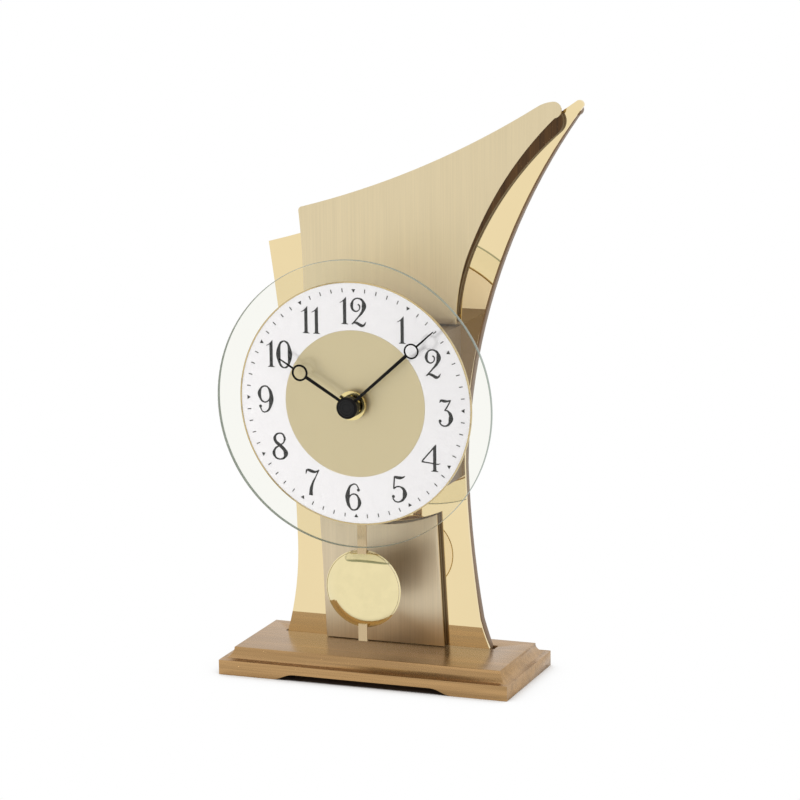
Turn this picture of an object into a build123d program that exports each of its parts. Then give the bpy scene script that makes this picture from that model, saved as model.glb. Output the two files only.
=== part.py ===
from build123d import *
import os
from math import atan2, cos, pi, radians, sin, sqrt

# A desk pendulum clock in millimetres: X to the right, Y to the back, Z up.
# The origin is the centre of the base's underside. The clock faces -Y.

# Base
base_width = 170.0
base_depth = 76.5
base_height = 14.5
base_block_height = 8.4
base_inset_side = 6.3
base_inset_front = 7.9
base_lip = 1.2
base_lip_round = 0.5
arch_span = 107.0
arch_shoulder = 13.5
arch_rise = 3.4
arch_depth = 12.0
felt_thickness = 1.0
felt_margin = 8.0
felt_clearance = 0.2

# Upright panel with its mirror face
mirror_front = 10.45
mirror_thickness = 2.0
back_board_thickness = 5.0
panel_span = 184.0
panel_height = 308.4
slot_depth = 8.0
slot_clearance = 0.2
slot_room_left = 1.4
slot_room_right = 3.0

# Facing boards and their brushed sheets
facing_board_thickness = 3.8
facing_sheet_thickness = 1.0
upper_gap = 1.2
lower_gap = 0.3
lower_width = 70.6
lower_height = 75.4

# Housing behind the dial
arbor_z = 160.3
housing_depth = 51.35
housing_wall = 2.5
movement_side_room = 3.6
movement_room_below = 3.9
movement_room_above = 5.7
post_width = 5.6
post_length = 14.0
rod_slot_width = 13.0
rod_slot_depth = 8.0
case_slot_depth = 5.4
access_margin = 1.4
access_sill = 4.2

# Dial and glass
glass_radius = 79.4
glass_thickness = 4.0
glass_edge_round = 0.8
dial_radius = 67.1
dial_rim_width = 0.8
dial_plate_thickness = 0.8
centre_disc_radius = 40.4
centre_disc_thickness = 0.3

# Centre fixing
bush_radius = 4.0
bush_flange_radius = 6.5
bush_end = 0.4
bush_clearance = 0.2
washer_radius = 8.0
washer_thickness = 1.4
nut_radius = 5.6
nut_height = 1.4
seal_radius = 9.0
seal_thickness = 0.8

# Hands
minute_angle = 48.2
hour_angle = -59.0
hand_gap = 0.7
hand_thickness = 0.4
hub_radius = 6.0
hour_hub_height = 1.7
minute_hub_height = 2.0
cap_height = 0.7
cap_radius = 4.6
hub_gap = 0.5
minute_reach = 66.1
minute_ring_at = 49.5
minute_ring_radius = 4.2
minute_ring_stroke = 0.85
hour_reach = 47.0
hour_ring_at = 33.1
hour_ring_radius = 4.6
hour_ring_stroke = 1.1
hand_root_width = 1.5
hand_neck_width = 1.9
hand_tip_root_width = 1.3
hand_tip_width = 0.6

# Movement case
case_half_width = 31.0
case_above = 28.3
case_below = 42.3
case_wall = 1.5
case_depth = 16.2
lug_radius = 3.2
lug_reach = 2.2
lug_length = 10.0
lug_inset = 6.4
running_clearance = 0.05

# Going train and motion work
gear_thickness = 1.2
layer_gap = 0.8
first_layer_gap = 0.5
layer_count = 5
stator_layer = 3
arbor_radius = 1.2
hour_tube_radius = 2.2
pivot_radius = 0.4
pivot_depth = 0.8
minute_wheel_arbor_radius = 0.6
bridge_thickness = 1.2
cannon_teeth = 12
minute_wheel_teeth = 36
minute_distance = 10.8
minute_pinion_teeth = 10
hour_teeth = 40
setting_teeth = 12
pinion_teeth = 6
centre_teeth = 90
third_teeth = 72
second_teeth = 60
third_distance = 9.6
second_distance = 8.58
rotor_distance = 7.26
third_direction = 180.0
second_direction = 220.0
rotor_direction = 250.0
setting_direction = -30.0
tooth_addendum_share = 0.75
tooth_dedendum_share = 1.15
tooth_root_share = 0.30
tooth_tip_share = 0.12

# Setting knob
knob_radius = 6.5
knob_thickness = 4.0
knob_gap = 0.5
knob_grips = 12
knob_grip_radius = 0.7
setting_shaft_radius = 0.8

# Bridge pillars
pillar_radius = 2.0
bridge_screw_radius = 0.8
bridge_screw_head_radius = 1.6
bridge_screw_head_height = 0.7
bridge_screw_length = 4.0
bridge_margin = 1.0

# Stepping motor
rotor_magnet_radius = 2.5
rotor_magnet_length = 2.0
stator_thickness = 1.2
stator_gap = 0.5
stator_width = 12.8
stator_rim = 1.2
stator_foot_height = 3.0
stator_leg_width = 3.0
coil_radius = 3.4
coil_length = 13.0

# Electronics
board_thickness = 1.0
board_height = 18.8
board_gap = 1.0
board_side_gap = 1.5
board_post_radius = 1.2

# Battery
battery_radius = 7.1
battery_length = 50.5
battery_nub_radius = 2.75
battery_nub_length = 1.0
battery_clearance = 0.5
battery_sink = 0.2
divider_thickness = 1.2
contact_thickness = 0.4
contact_height = 6.0
contact_gap = 0.15
contact_reach = 12.0

# Pendulum
pivot_drop = 17.3
pivot_pin_radius = 0.6
hanger_hub_radius = 2.5
hanger_hub_length = 3.2
hanger_width = 4.0
hanger_thickness = 1.2
hanger_depth_in_case = 3.5
hanger_length = 38.0
swing_angle = 5.0
swing_room = 1.3
hook_up = 1.0
hook_radius = 0.8
hook_reach = 2.2
hook_clearance = 0.1
magnet_radius = 3.5
magnet_length = 2.2
magnet_below_pivot = 15.5
magnet_gap = 0.8
drive_coil_radius = 7.0
drive_coil_bore = 2.5
rod_width = 5.2
rod_thickness = 1.0
rod_gap = 0.4
rod_above_hook = 3.0
rod_tip_z = 25.5
bob_z = 55.0
bob_radius = 21.9
bob_dome = 7.4
bob_rim = 0.9
bob_shell_thickness = 0.6
bob_back_thickness = 0.8
bob_weight_radius = 17.0
bob_weight_thickness = 2.6

# Wood screws
screw_radius = 1.4
screw_head_radius = 3.0
screw_head_height = 1.6
screw_length = 10.0
base_screw_length = 17.0
base_screw_spacing = 76.0
case_screw_radius = 1.0
case_screw_head_radius = 1.9
case_screw_head_height = 1.2
case_screw_length = 6.0

# One overrun for every cut
overrun = 1.0

# Depths that follow from the sizes above, front face first
panel_back = mirror_front + mirror_thickness + back_board_thickness
facing_front = mirror_front - facing_board_thickness - facing_sheet_thickness
dial_back = mirror_front - housing_depth
dial_front = dial_back - dial_plate_thickness
glass_back = dial_front - centre_disc_thickness
glass_front = glass_back - glass_thickness
washer_front = glass_front - washer_thickness
nut_front = washer_front - nut_height
bush_front = nut_front - bush_end
hour_hub_back = nut_front - hand_gap
hour_hub_front = hour_hub_back - hour_hub_height
minute_hub_back = hour_hub_front - hub_gap
minute_hub_front = minute_hub_back - minute_hub_height
cap_front = minute_hub_front - cap_height
housing_inner = dial_back + housing_wall
movement_front = housing_inner + seal_thickness
inner_front = movement_front + case_wall
cover_front = movement_front + case_depth
cover_back = cover_front + case_wall

# Heights that follow from the sizes above
panel_top = base_height + panel_height
case_bottom = arbor_z - case_below
case_top = arbor_z + case_above
case_inner_half = case_half_width - case_wall
inner_low = case_bottom - movement_room_below
inner_high = case_top + movement_room_above
housing_bottom = inner_low - housing_wall
housing_top = inner_high + housing_wall
upper_bottom = housing_top + upper_gap
lower_foot = base_height + lower_gap
pivot_z = arbor_z - pivot_drop
hook_z = pivot_z - hanger_length + hook_up
battery_z = case_top - case_wall - battery_clearance - battery_radius
divider_top = battery_z - battery_radius - battery_clearance
centre = (0.0, arbor_z)

# Outlines as shares of the panel's span and of the height above each foot
mirror_left_shares = [(-0.342, 0.0), (-0.317, 0.066), (-0.304, 0.173), (-0.328, 0.439), (-0.384, 0.726)]
mirror_top_shares = [(0.127, 0.836), (0.596, 0.999)]
mirror_tip_shares = [(0.610, 0.997), (0.614, 0.989)]
mirror_right_shares = [(0.353, 0.704), (0.241, 0.336), (0.2625, 0.154), (0.2864, 0.0516)]
mirror_foot_shares = [(0.300, 0.0253), (0.316, 0.0)]
board_left_shares = [(-0.340, 0.0), (-0.315, 0.066), (-0.302, 0.173), (-0.326, 0.439), (-0.381, 0.724)]
board_top_shares = [(0.127, 0.833), (0.590, 0.991)]
board_tip_shares = [(0.603, 0.984), (0.593, 0.971)]
board_right_shares = [(0.357, 0.704), (0.240, 0.336), (0.2625, 0.154), (0.2880, 0.0516)]
board_foot_shares = [(0.3015, 0.0253), (0.316, 0.0)]
sheet_left_shares = [(-0.264, 0.0), (-0.265, 0.272), (-0.275, 0.466)]
sheet_corner_shares = [(-0.273, 0.484), (-0.263, 0.492)]
sheet_top_shares = [(0.114, 0.686), (0.478, 0.966)]
sheet_shoulder_shares = [(0.503, 0.984), (0.527, 0.992)]
sheet_tip_shares = [(0.554, 0.964), (0.534, 0.921)]
sheet_right_shares = [(0.424, 0.737), (0.283, 0.379), (0.236, 0.166), (0.2255, 0.0)]
backing_left_shares = [(-0.258, 0.032), (-0.257, 0.272), (-0.266, 0.469)]
backing_corner_shares = [(-0.265, 0.478), (-0.257, 0.482)]
backing_top_shares = [(0.117, 0.676), (0.482, 0.954)]
backing_shoulder_shares = [(0.503, 0.967), (0.523, 0.966)]
backing_tip_shares = [(0.556, 0.915), (0.544, 0.859)]
backing_right_shares = [(0.392, 0.619), (0.289, 0.373), (0.2385, 0.168), (0.224, 0.032)]
upper_screw_shares = [(-0.163, 0.22), (0.147, 0.30), (0.408, 0.70)]
lower_screw_shares = [(-0.30, 0.45), (0.28, 0.45)]
lower_left_shares = [(-0.528, 0.0), (-0.549, 0.5), (-0.5765, 0.983)]
lower_scoop_shares = [(0.140, 0.9165), (0.4165, 1.0)]
lower_right_shares = [(0.442, 0.5), (0.470, 0.0)]


def block(x, y, z):
    """A block between the low and high value of each axis."""
    place = [(span[0] + span[1]) / 2 for span in (x, y, z)]
    size = [span[1] - span[0] for span in (x, y, z)]
    return Pos(*place) * Box(*size)


def disc(radius, front, back, at):
    """A disc or pin along the depth, at a place in X and Z."""
    return Pos(at[0], (front + back) / 2, at[1]) * Rot(90, 0, 0) * Cylinder(radius, back - front)


def ring(outer, inner, front, back, at):
    """A flat ring along the depth."""
    return disc(outer, front, back, at) - disc(inner, front - overrun, back + overrun, at)


def plate(face, front, back):
    """A plate from a face drawn in X and Z, between two depths."""
    return extrude(Plane.XZ.offset(-back) * face, amount=back - front)


def arcs(points):
    """Arcs that follow each other: start, through, end, through, end and so on."""
    steps = range(0, len(points) - 2, 2)
    return [ThreePointArc(points[i], points[i + 1], points[i + 2]) for i in steps]


def outline(points, foot=None):
    """A face whose edge is a chain of arcs, closed along a straight foot."""
    edges = arcs(points)
    if foot is None:
        return make_face(edges + [Line(points[-1], points[0])])
    low = [(points[-1][0], foot), (points[0][0], foot)]
    return make_face(edges + [Polyline(points[-1], *low, points[0])])


def placed(shares, span, foot, height):
    """Points from shares of a span and of a height above a foot."""
    return [(x * span, foot + z * height) for x, z in shares]


def panel_points(shares, foot):
    """Points on the panel from shares of its span and of the height from a foot to its top."""
    return placed(shares, panel_span, foot, panel_top - foot)


def polar(start, distance, angle):
    """The place at a distance and an angle from another."""
    return (start[0] + distance * cos(radians(angle)), start[1] + distance * sin(radians(angle)))


def toothed_face(teeth, module, phase):
    """The face of a gear with straight-flanked teeth, one of them at the phase angle."""
    pitch = 2 * pi / teeth
    tip = module * (teeth / 2 + tooth_addendum_share)
    root = module * (teeth / 2 - tooth_dedendum_share)
    corners = ((-tooth_root_share, root), (-tooth_tip_share, tip),
               (tooth_tip_share, tip), (tooth_root_share, root))
    points = []
    for tooth in range(teeth):
        for share, radius in corners:
            angle = phase + (tooth + share) * pitch
            points.append((radius * cos(angle), radius * sin(angle)))
    return make_face(Polyline(*points, close=True))


def gear(teeth, module, front, at, phase):
    """A gear one gear thickness deep, at a place in X and Z."""
    face = Pos(at[0], at[1], 0) * toothed_face(teeth, module, phase)
    return plate(face, front, front + gear_thickness)


def towards(start, end):
    """The angle from one axis to another, in radians."""
    return atan2(end[1] - start[1], end[0] - start[0])


def meshing(start, end, teeth):
    """The phase of a gear at end that has a gap facing the gear at start."""
    return towards(end, start) + pi / teeth


def layer(number):
    """The front of a gear layer inside the movement, counted from the dial side."""
    return inner_front + first_layer_gap + number * (gear_thickness + layer_gap)


def countersunk(radius, head_radius, head_height, length):
    """A countersunk screw pointing down, its head's top at the origin."""
    head = Pos(0, 0, -head_height / 2) * Cone(radius, head_radius, head_height)
    return head + Pos(0, 0, -length / 2) * Cylinder(radius, length)


def turned(angle, shape):
    """A shape turned about the dial's centre, clockwise as seen from the front."""
    return Pos(0, 0, arbor_z) * Rot(0, angle, 0) * shape


# Places of the axes in X and Z
minute_axis = polar(centre, minute_distance, 0)
third_axis = polar(centre, third_distance, third_direction)
second_axis = polar(third_axis, second_distance, second_direction)
rotor_axis = polar(second_axis, rotor_distance, rotor_direction)
minute_module = 2 * minute_distance / (cannon_teeth + minute_wheel_teeth)
hour_module = 2 * minute_distance / (minute_pinion_teeth + hour_teeth)
centre_module = 2 * third_distance / (centre_teeth + pinion_teeth)
third_module = 2 * second_distance / (third_teeth + pinion_teeth)
second_module = 2 * rotor_distance / (second_teeth + pinion_teeth)
setting_axis = polar(minute_axis, minute_module * (setting_teeth + minute_wheel_teeth) / 2, setting_direction)
pivot_axis = (0.0, pivot_z)
magnet_axis = (0.0, pivot_z - magnet_below_pivot)
bridge_front = layer(layer_count)
bridge_back = bridge_front + bridge_thickness
pillars = [(rotor_axis[0] - bridge_margin, arbor_z + pivot_drop / 4 + pillar_radius / 4),
           (setting_axis[0] + bridge_margin, arbor_z + pivot_drop / 3),
           (minute_axis[0], pivot_z + bridge_margin)]
pivot_front = inner_front - pivot_depth
pivot_back = bridge_front + pivot_depth

parts = {}

# Base with its cove edge, arch, panel slot and felt
half_width = base_width / 2
half_depth = base_depth / 2
base = block((-half_width, half_width), (-half_depth, half_depth), (0.0, base_height))
cove_top = base_height - base_lip
cove_share = sqrt(2) / 2


def cove(inset, reach, length):
    """The cutter for the cove along one side of the base, its length along X."""
    inner = reach - inset
    drop = cove_top - base_block_height
    curve = ThreePointArc((inner, cove_top), (reach - inset * cove_share, cove_top - drop * cove_share),
                          (reach, base_block_height))
    outside = reach + overrun
    above = base_height + overrun
    rest = Polyline((reach, base_block_height), (outside, base_block_height), (outside, above),
                    (inner, above), (inner, cove_top))
    face = Plane.YZ.offset(-length / 2) * make_face([curve, rest])
    return extrude(face, amount=length)


cutter_length = base_width + base_depth
front_cove = cove(base_inset_front, half_depth, cutter_length)
side_cove = cove(base_inset_side, half_width, cutter_length)
for turn, cutter in ((0, front_cove), (180, front_cove), (90, side_cove), (270, side_cove)):
    base -= Rot(0, 0, turn) * cutter
top_edges = base.edges().filter_by_position(Axis.Z, base_height, base_height)
base = fillet(top_edges, base_lip_round)

arch_foot = arch_span / 2
arch_flat = arch_foot - arch_shoulder
arch_bend = arch_foot - arch_shoulder / 2
level = ((-1, 0), (-1, 0))
arch_face = make_face([
    Polyline((-arch_foot, -overrun), (arch_foot, -overrun), (arch_foot, 0)),
    Spline((arch_foot, 0), (arch_bend, arch_rise / 2), (arch_flat, arch_rise), tangents=level),
    Line((arch_flat, arch_rise), (-arch_flat, arch_rise)),
    Spline((-arch_flat, arch_rise), (-arch_bend, arch_rise / 2), (-arch_foot, 0), tangents=level),
    Line((-arch_foot, 0), (-arch_foot, -overrun))])
base -= plate(arch_face, -half_depth - overrun, -half_depth + arch_depth)

slot_left = mirror_left_shares[0][0] * panel_span - slot_room_left
slot_right = mirror_foot_shares[-1][0] * panel_span + slot_room_right
slot_floor = base_height - slot_depth
base -= block((slot_left, slot_right), (mirror_front - slot_clearance, panel_back + slot_clearance),
              (slot_floor, base_height + overrun))

felt_x = half_width - felt_margin
felt_front = -half_depth + arch_depth + felt_clearance * 2
felt_back = half_depth - felt_margin
recess_x = felt_x + felt_clearance
base -= block((-recess_x, recess_x), (felt_front - felt_clearance, felt_back + felt_clearance),
              (-overrun, felt_thickness))
parts["base_felt"] = block((-felt_x, felt_x), (felt_front, felt_back), (0.0, felt_thickness))

board_centre = mirror_front + mirror_thickness + back_board_thickness / 2
base_screw = Pos(0, board_centre, felt_thickness) * Rot(180, 0, 0) * countersunk(
    screw_radius, screw_head_radius, screw_head_height, base_screw_length)
base_screws = [Pos(side * base_screw_spacing / 2, 0, 0) * base_screw for side in (-1, 1)]
for screw in base_screws:
    base -= screw
parts["base_plinth"] = base
parts["base_screws"] = Compound(base_screws)

# Upright panel: mirror in front, board behind, both open behind the movement
half_inner = case_half_width + lug_reach + lug_radius + movement_side_room
half_access = half_inner - post_width - access_margin
access = block((-half_access, half_access), (mirror_front - overrun, panel_back + overrun),
               (inner_low + access_sill, inner_high - access_sill))
mirror_points = panel_points(mirror_left_shares + mirror_top_shares + mirror_tip_shares
                             + mirror_right_shares + mirror_foot_shares, base_height)
board_points = panel_points(board_left_shares + board_top_shares + board_tip_shares
                            + board_right_shares + board_foot_shares, base_height)
board_front = mirror_front + mirror_thickness
mirror = plate(outline(mirror_points, slot_floor), mirror_front, board_front) - access
back_board = plate(outline(board_points, slot_floor), board_front, panel_back) - access
for screw in base_screws:
    back_board -= screw

# Facing boards and brushed sheets, above and below the dial
upper_sheet_points = panel_points(
    sheet_left_shares + sheet_corner_shares + sheet_top_shares + sheet_shoulder_shares
    + sheet_tip_shares + sheet_right_shares, upper_bottom)
upper_board_points = panel_points(
    backing_left_shares + backing_corner_shares + backing_top_shares + backing_shoulder_shares
    + backing_tip_shares + backing_right_shares, upper_bottom)
sheet_back = facing_front + facing_sheet_thickness
upper_board = plate(outline(upper_board_points), sheet_back, mirror_front)
parts["upper_sheet"] = plate(outline(upper_sheet_points), facing_front, sheet_back)

lower_points = placed(lower_left_shares + lower_scoop_shares + lower_right_shares,
                      lower_width, lower_foot, lower_height)
lower_face = outline(lower_points)
lower_board = plate(lower_face, sheet_back, mirror_front)
parts["lower_sheet"] = plate(lower_face, facing_front, sheet_back)

# Housing: four walls and a front, open to the back, with a slot for the pendulum
half_housing = half_inner + housing_wall
housing = block((-half_housing, half_housing), (dial_back, mirror_front), (housing_bottom, housing_top))
housing -= block((-half_inner, half_inner), (housing_inner, mirror_front + overrun), (inner_low, inner_high))
post_places = [(side * (half_inner - post_width / 2), height) for side in (-1, 1)
               for height in (inner_low + post_width / 2, inner_high - post_width / 2)]
for x, z in post_places:
    housing += block((x - post_width / 2, x + post_width / 2), (mirror_front - post_length, mirror_front),
                     (z - post_width / 2, z + post_width / 2))
hanger_front = inner_front + hanger_depth_in_case
hanger_back = hanger_front + hanger_thickness
hanger_middle = (hanger_front + hanger_back) / 2
housing -= block((-rod_slot_width / 2, rod_slot_width / 2),
                 (hanger_middle - rod_slot_depth / 2, hanger_middle + rod_slot_depth / 2),
                 (housing_bottom - overrun, inner_low + overrun))
housing -= disc(bush_radius + bush_clearance, dial_back - overrun, housing_inner + overrun, centre)

# Panel screws from the back into the facing boards and the housing's posts
upper_screws = panel_points(upper_screw_shares, upper_bottom)
lower_screws = placed(lower_screw_shares, lower_width, lower_foot, lower_height)
panel_screw = Rot(-90, 0, 0) * countersunk(screw_radius, screw_head_radius, screw_head_height, screw_length)
panel_screws = [Pos(x, panel_back, z) * panel_screw for x, z in upper_screws + lower_screws + post_places]
for screw in panel_screws:
    back_board -= screw
    mirror -= screw
    upper_board -= screw
    lower_board -= screw
    housing -= screw
parts["back_board"] = back_board
parts["back_mirror"] = mirror
parts["upper_board"] = upper_board
parts["lower_board"] = lower_board
parts["movement_housing"] = housing
parts["panel_screws"] = Compound(panel_screws)

# Dial, its rim and the glass disc
bush_hole = bush_radius + bush_clearance
plate_radius = dial_radius - dial_rim_width
parts["dial_plate"] = ring(plate_radius, bush_hole, dial_front, dial_back, centre)
parts["dial_centre"] = ring(centre_disc_radius, bush_hole, glass_back, dial_front, centre)
parts["dial_rim"] = ring(dial_radius, plate_radius, glass_back, dial_back, centre)
glass = disc(glass_radius, glass_front, glass_back, centre)
glass = fillet(glass.edges(), glass_edge_round)
parts["glass_disc"] = glass - disc(bush_hole, glass_front - overrun, glass_back + overrun, centre)

# Centre bush, nut, washer and seal, which clamp dial, housing and movement
bush = disc(bush_radius, bush_front, inner_front, centre)
bush += disc(bush_flange_radius, inner_front, inner_front + first_layer_gap / 2, centre)
hour_bore = hour_tube_radius + running_clearance
parts["centre_bush"] = bush - disc(hour_bore, bush_front - overrun, inner_front + overrun, centre)
parts["glass_washer"] = ring(washer_radius, bush_radius, washer_front, glass_front, centre)
nut = ring(nut_radius, bush_radius, nut_front, washer_front, centre)
nut_flats = 6
for flat in range(nut_flats):
    away = nut_radius * cos(pi / nut_flats)
    flat_block = block((away, away + nut_radius), (nut_front - overrun, washer_front + overrun),
                       (-nut_radius, nut_radius))
    nut -= turned(flat * 360 / nut_flats, flat_block)
parts["centre_nut"] = nut
parts["movement_seal"] = ring(seal_radius, bush_hole, housing_inner, movement_front, centre)

# Movement case: front shell and rear cover
case = block((-case_half_width, case_half_width), (movement_front, cover_front), (case_bottom, case_top))
case -= block((-case_inner_half, case_inner_half), (inner_front, cover_front + overrun),
              (case_bottom + case_wall, case_top - case_wall))
case += block((-case_inner_half, case_inner_half), (inner_front, cover_front),
              (divider_top - divider_thickness, divider_top))
lug_x = case_half_width + lug_reach
lug_heights = (case_bottom + lug_inset, case_top - lug_inset)
lugs = [(side * lug_x, height) for side in (-1, 1) for height in lug_heights]
inside = block((-case_inner_half, case_inner_half), (inner_front, cover_front + overrun),
               (case_bottom + case_wall, case_top - case_wall))
cover = block((-case_half_width, case_half_width), (cover_front, cover_back), (case_bottom, case_top))
for lug in lugs:
    case += disc(lug_radius, cover_front - lug_length, cover_front, lug) - inside
    cover += disc(lug_radius, cover_front, cover_back, lug)
for pillar in pillars:
    case += disc(pillar_radius, inner_front, bridge_front, pillar)

# Posts that carry the stator and the circuit board
stator_front = layer(stator_layer) - stator_gap * 2
stator_back = stator_front + stator_thickness
stator_right = rotor_axis[0] + rotor_magnet_radius + stator_gap + stator_rim
stator_left = stator_right - stator_width
stator_top = rotor_axis[1] + rotor_magnet_radius * 2
stator_bottom = case_bottom + case_wall * 2
board_back = cover_front - board_gap
board_face = board_back - board_thickness
board_low = case_bottom + case_wall + stator_gap
board_high = board_low + board_height
stator_posts = [(stator_right - board_post_radius, stator_top - board_post_radius),
                (stator_right - board_post_radius, stator_bottom + board_post_radius)]
board_edge = case_inner_half - board_side_gap
board_posts = [(board_edge - board_post_radius * 2, board_low + board_post_radius * 2),
               (board_edge - board_post_radius * 2, board_high - board_post_radius * 2),
               (stator_right + board_post_radius * 3, board_low + board_post_radius * 2)]
for post in stator_posts:
    case += disc(board_post_radius, inner_front, stator_front, post)
for post in board_posts:
    case += disc(board_post_radius, inner_front, board_face, post)

case -= disc(bush_radius, movement_front - overrun, inner_front + overrun, centre)
hanger_slot = 2 * sin(radians(swing_angle)) * (pivot_z - case_bottom) + hanger_width + swing_room * 2
case -= block((-hanger_slot / 2, hanger_slot / 2),
              (hanger_middle - case_slot_depth / 2, hanger_middle + case_slot_depth / 2),
              (case_bottom - overrun, case_bottom + case_wall + overrun))
pivots = [third_axis, second_axis, rotor_axis]
for place, radius in [(axis, pivot_radius) for axis in pivots] + [
        (minute_axis, minute_wheel_arbor_radius), (setting_axis, setting_shaft_radius)]:
    case -= disc(radius + running_clearance, pivot_front - running_clearance, inner_front + overrun, place)
case -= disc(pivot_pin_radius, pivot_front, inner_front + overrun, pivot_axis)

bay_x = battery_length / 2 + contact_gap + contact_thickness + battery_clearance
cover -= block((-bay_x, bay_x), (cover_front - overrun, cover_back + overrun),
               (divider_top, case_top - case_wall))
knob_hole = setting_shaft_radius + bush_clearance * 2
cover -= disc(knob_hole, cover_front - overrun, cover_back + overrun, setting_axis)

case_screw = disc(case_screw_radius, cover_back - case_screw_length, cover_back, (0, 0))
case_screw += disc(case_screw_head_radius, cover_back, cover_back + case_screw_head_height, (0, 0))
case_screws = [Pos(x, 0, z) * case_screw for x, z in lugs]
for screw in case_screws:
    case -= screw
    cover -= screw
parts["case_cover"] = cover
parts["case_screws"] = Compound(case_screws)

# Train bridge with its screws
bridge_low = pivot_z - hanger_hub_radius - bridge_margin / 2
bridge_left = pillars[0][0] - pillar_radius
bridge_right = pillars[1][0] + pillar_radius
bridge_high = divider_top - divider_thickness - bridge_margin
bridge = block((bridge_left, bridge_right), (bridge_front, bridge_back), (bridge_low, bridge_high))
for place, radius in [(axis, pivot_radius) for axis in pivots + [centre]] + [
        (minute_axis, minute_wheel_arbor_radius)]:
    bridge -= disc(radius + running_clearance, bridge_front - overrun, pivot_back + running_clearance, place)
bridge -= disc(setting_shaft_radius + running_clearance, bridge_front - overrun, bridge_back + overrun,
               setting_axis)
bridge -= disc(pivot_pin_radius, bridge_front - overrun, pivot_back, pivot_axis)
bridge_screw = disc(bridge_screw_radius, bridge_back - bridge_screw_length, bridge_back, (0, 0))
bridge_screw += disc(bridge_screw_head_radius, bridge_back, bridge_back + bridge_screw_head_height, (0, 0))
bridge_screws = [Pos(x, 0, z) * bridge_screw for x, z in pillars]
for screw in bridge_screws:
    bridge -= screw
    case -= screw
parts["movement_case"] = case
parts["train_bridge"] = bridge
parts["bridge_screws"] = Compound(bridge_screws)

# Motion work: minute arbor, minute wheel, hour wheel
hour_layer, minute_layer, centre_layer, third_layer, second_layer = [
    layer(number) for number in range(layer_count)]
minute_arbor = disc(arbor_radius, minute_hub_front, centre_layer + gear_thickness, centre)
minute_arbor += disc(pivot_radius, centre_layer, pivot_back, centre)
minute_arbor += gear(cannon_teeth, minute_module, minute_layer, centre, 0)
parts["minute_arbor"] = minute_arbor
minute_wheel = disc(minute_wheel_arbor_radius, pivot_front, pivot_back, minute_axis)
minute_wheel += gear(minute_wheel_teeth, minute_module, minute_layer, minute_axis,
                     meshing(centre, minute_axis, minute_wheel_teeth))
minute_wheel += gear(minute_pinion_teeth, hour_module, hour_layer, minute_axis, towards(minute_axis, centre))
parts["minute_wheel"] = minute_wheel
hour_wheel = gear(hour_teeth, hour_module, hour_layer, centre, meshing(minute_axis, centre, hour_teeth))
hour_wheel += disc(hour_tube_radius, hour_hub_front + bush_clearance, hour_layer + gear_thickness, centre)
hour_wheel -= disc(arbor_radius + running_clearance, hour_hub_front - overrun, minute_layer, centre)
parts["hour_wheel"] = hour_wheel

# Setting knob on its own arbor at the back
minute_wheel_slip = meshing(centre, minute_axis, minute_wheel_teeth) - towards(minute_axis, setting_axis)
setting_phase = meshing(minute_axis, setting_axis, setting_teeth)
setting_phase -= minute_wheel_slip * minute_wheel_teeth / setting_teeth
knob_front = cover_back + knob_gap
knob_back = knob_front + knob_thickness
setting_arbor = disc(setting_shaft_radius, pivot_front, knob_back - knob_gap, setting_axis)
setting_arbor += gear(setting_teeth, minute_module, minute_layer, setting_axis, setting_phase)
parts["setting_arbor"] = setting_arbor
knob = disc(knob_radius, knob_front, knob_back, setting_axis)
for grip in range(knob_grips):
    place = polar(setting_axis, knob_radius, grip * 360 / knob_grips)
    knob -= disc(knob_grip_radius, knob_front - overrun, knob_back + overrun, place)
knob -= disc(setting_shaft_radius, knob_front - overrun, knob_back - knob_gap, setting_axis)
parts["setting_knob"] = knob

# Going train from the rotor to the centre wheel
centre_wheel = gear(centre_teeth, centre_module, centre_layer, centre, 0)
centre_wheel -= disc(arbor_radius + running_clearance, minute_layer, third_layer, centre)
parts["centre_wheel"] = centre_wheel


def pinion(driver_axis, axis, module, front):
    """A pinion on its arbor between the case and the bridge, in mesh with its driver."""
    arbor = disc(pivot_radius, pivot_front, pivot_back, axis)
    return arbor + gear(pinion_teeth, module, front, axis, meshing(driver_axis, axis, pinion_teeth))


third_gear = gear(third_teeth, third_module, third_layer, third_axis, towards(third_axis, second_axis))
second_gear = gear(second_teeth, second_module, second_layer, second_axis, towards(second_axis, rotor_axis))
parts["third_wheel"] = pinion(centre, third_axis, centre_module, centre_layer) + third_gear
parts["second_wheel"] = pinion(third_axis, second_axis, third_module, third_layer) + second_gear
parts["rotor_pinion"] = pinion(second_axis, rotor_axis, second_module, second_layer)
stator_middle = (stator_front + stator_back) / 2
magnet_front = stator_middle - rotor_magnet_length / 2
parts["rotor_magnet"] = ring(rotor_magnet_radius, pivot_radius, magnet_front,
                             magnet_front + rotor_magnet_length, rotor_axis)

# Stepping motor's stator and coil
leg_left = stator_left + coil_radius - stator_leg_width / 2
leg_right = leg_left + stator_leg_width
window_low = stator_bottom + stator_foot_height
window_high = window_low + coil_length
stator = block((stator_left, stator_right), (stator_front, stator_back), (stator_bottom, stator_top))
stator -= block((leg_right, stator_right - stator_leg_width), (stator_front - overrun, stator_back + overrun),
                (window_low, window_high))
stator -= block((stator_left - overrun, leg_left), (stator_front - overrun, stator_back + overrun),
                (window_low, window_high))
stator -= disc(rotor_magnet_radius + stator_gap, stator_front - overrun, stator_back + overrun, rotor_axis)
parts["motor_stator"] = stator
coil = Pos(stator_left + coil_radius, stator_middle, (window_low + window_high) / 2) * Cylinder(
    coil_radius, coil_length)
parts["motor_coil"] = coil - stator

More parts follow.
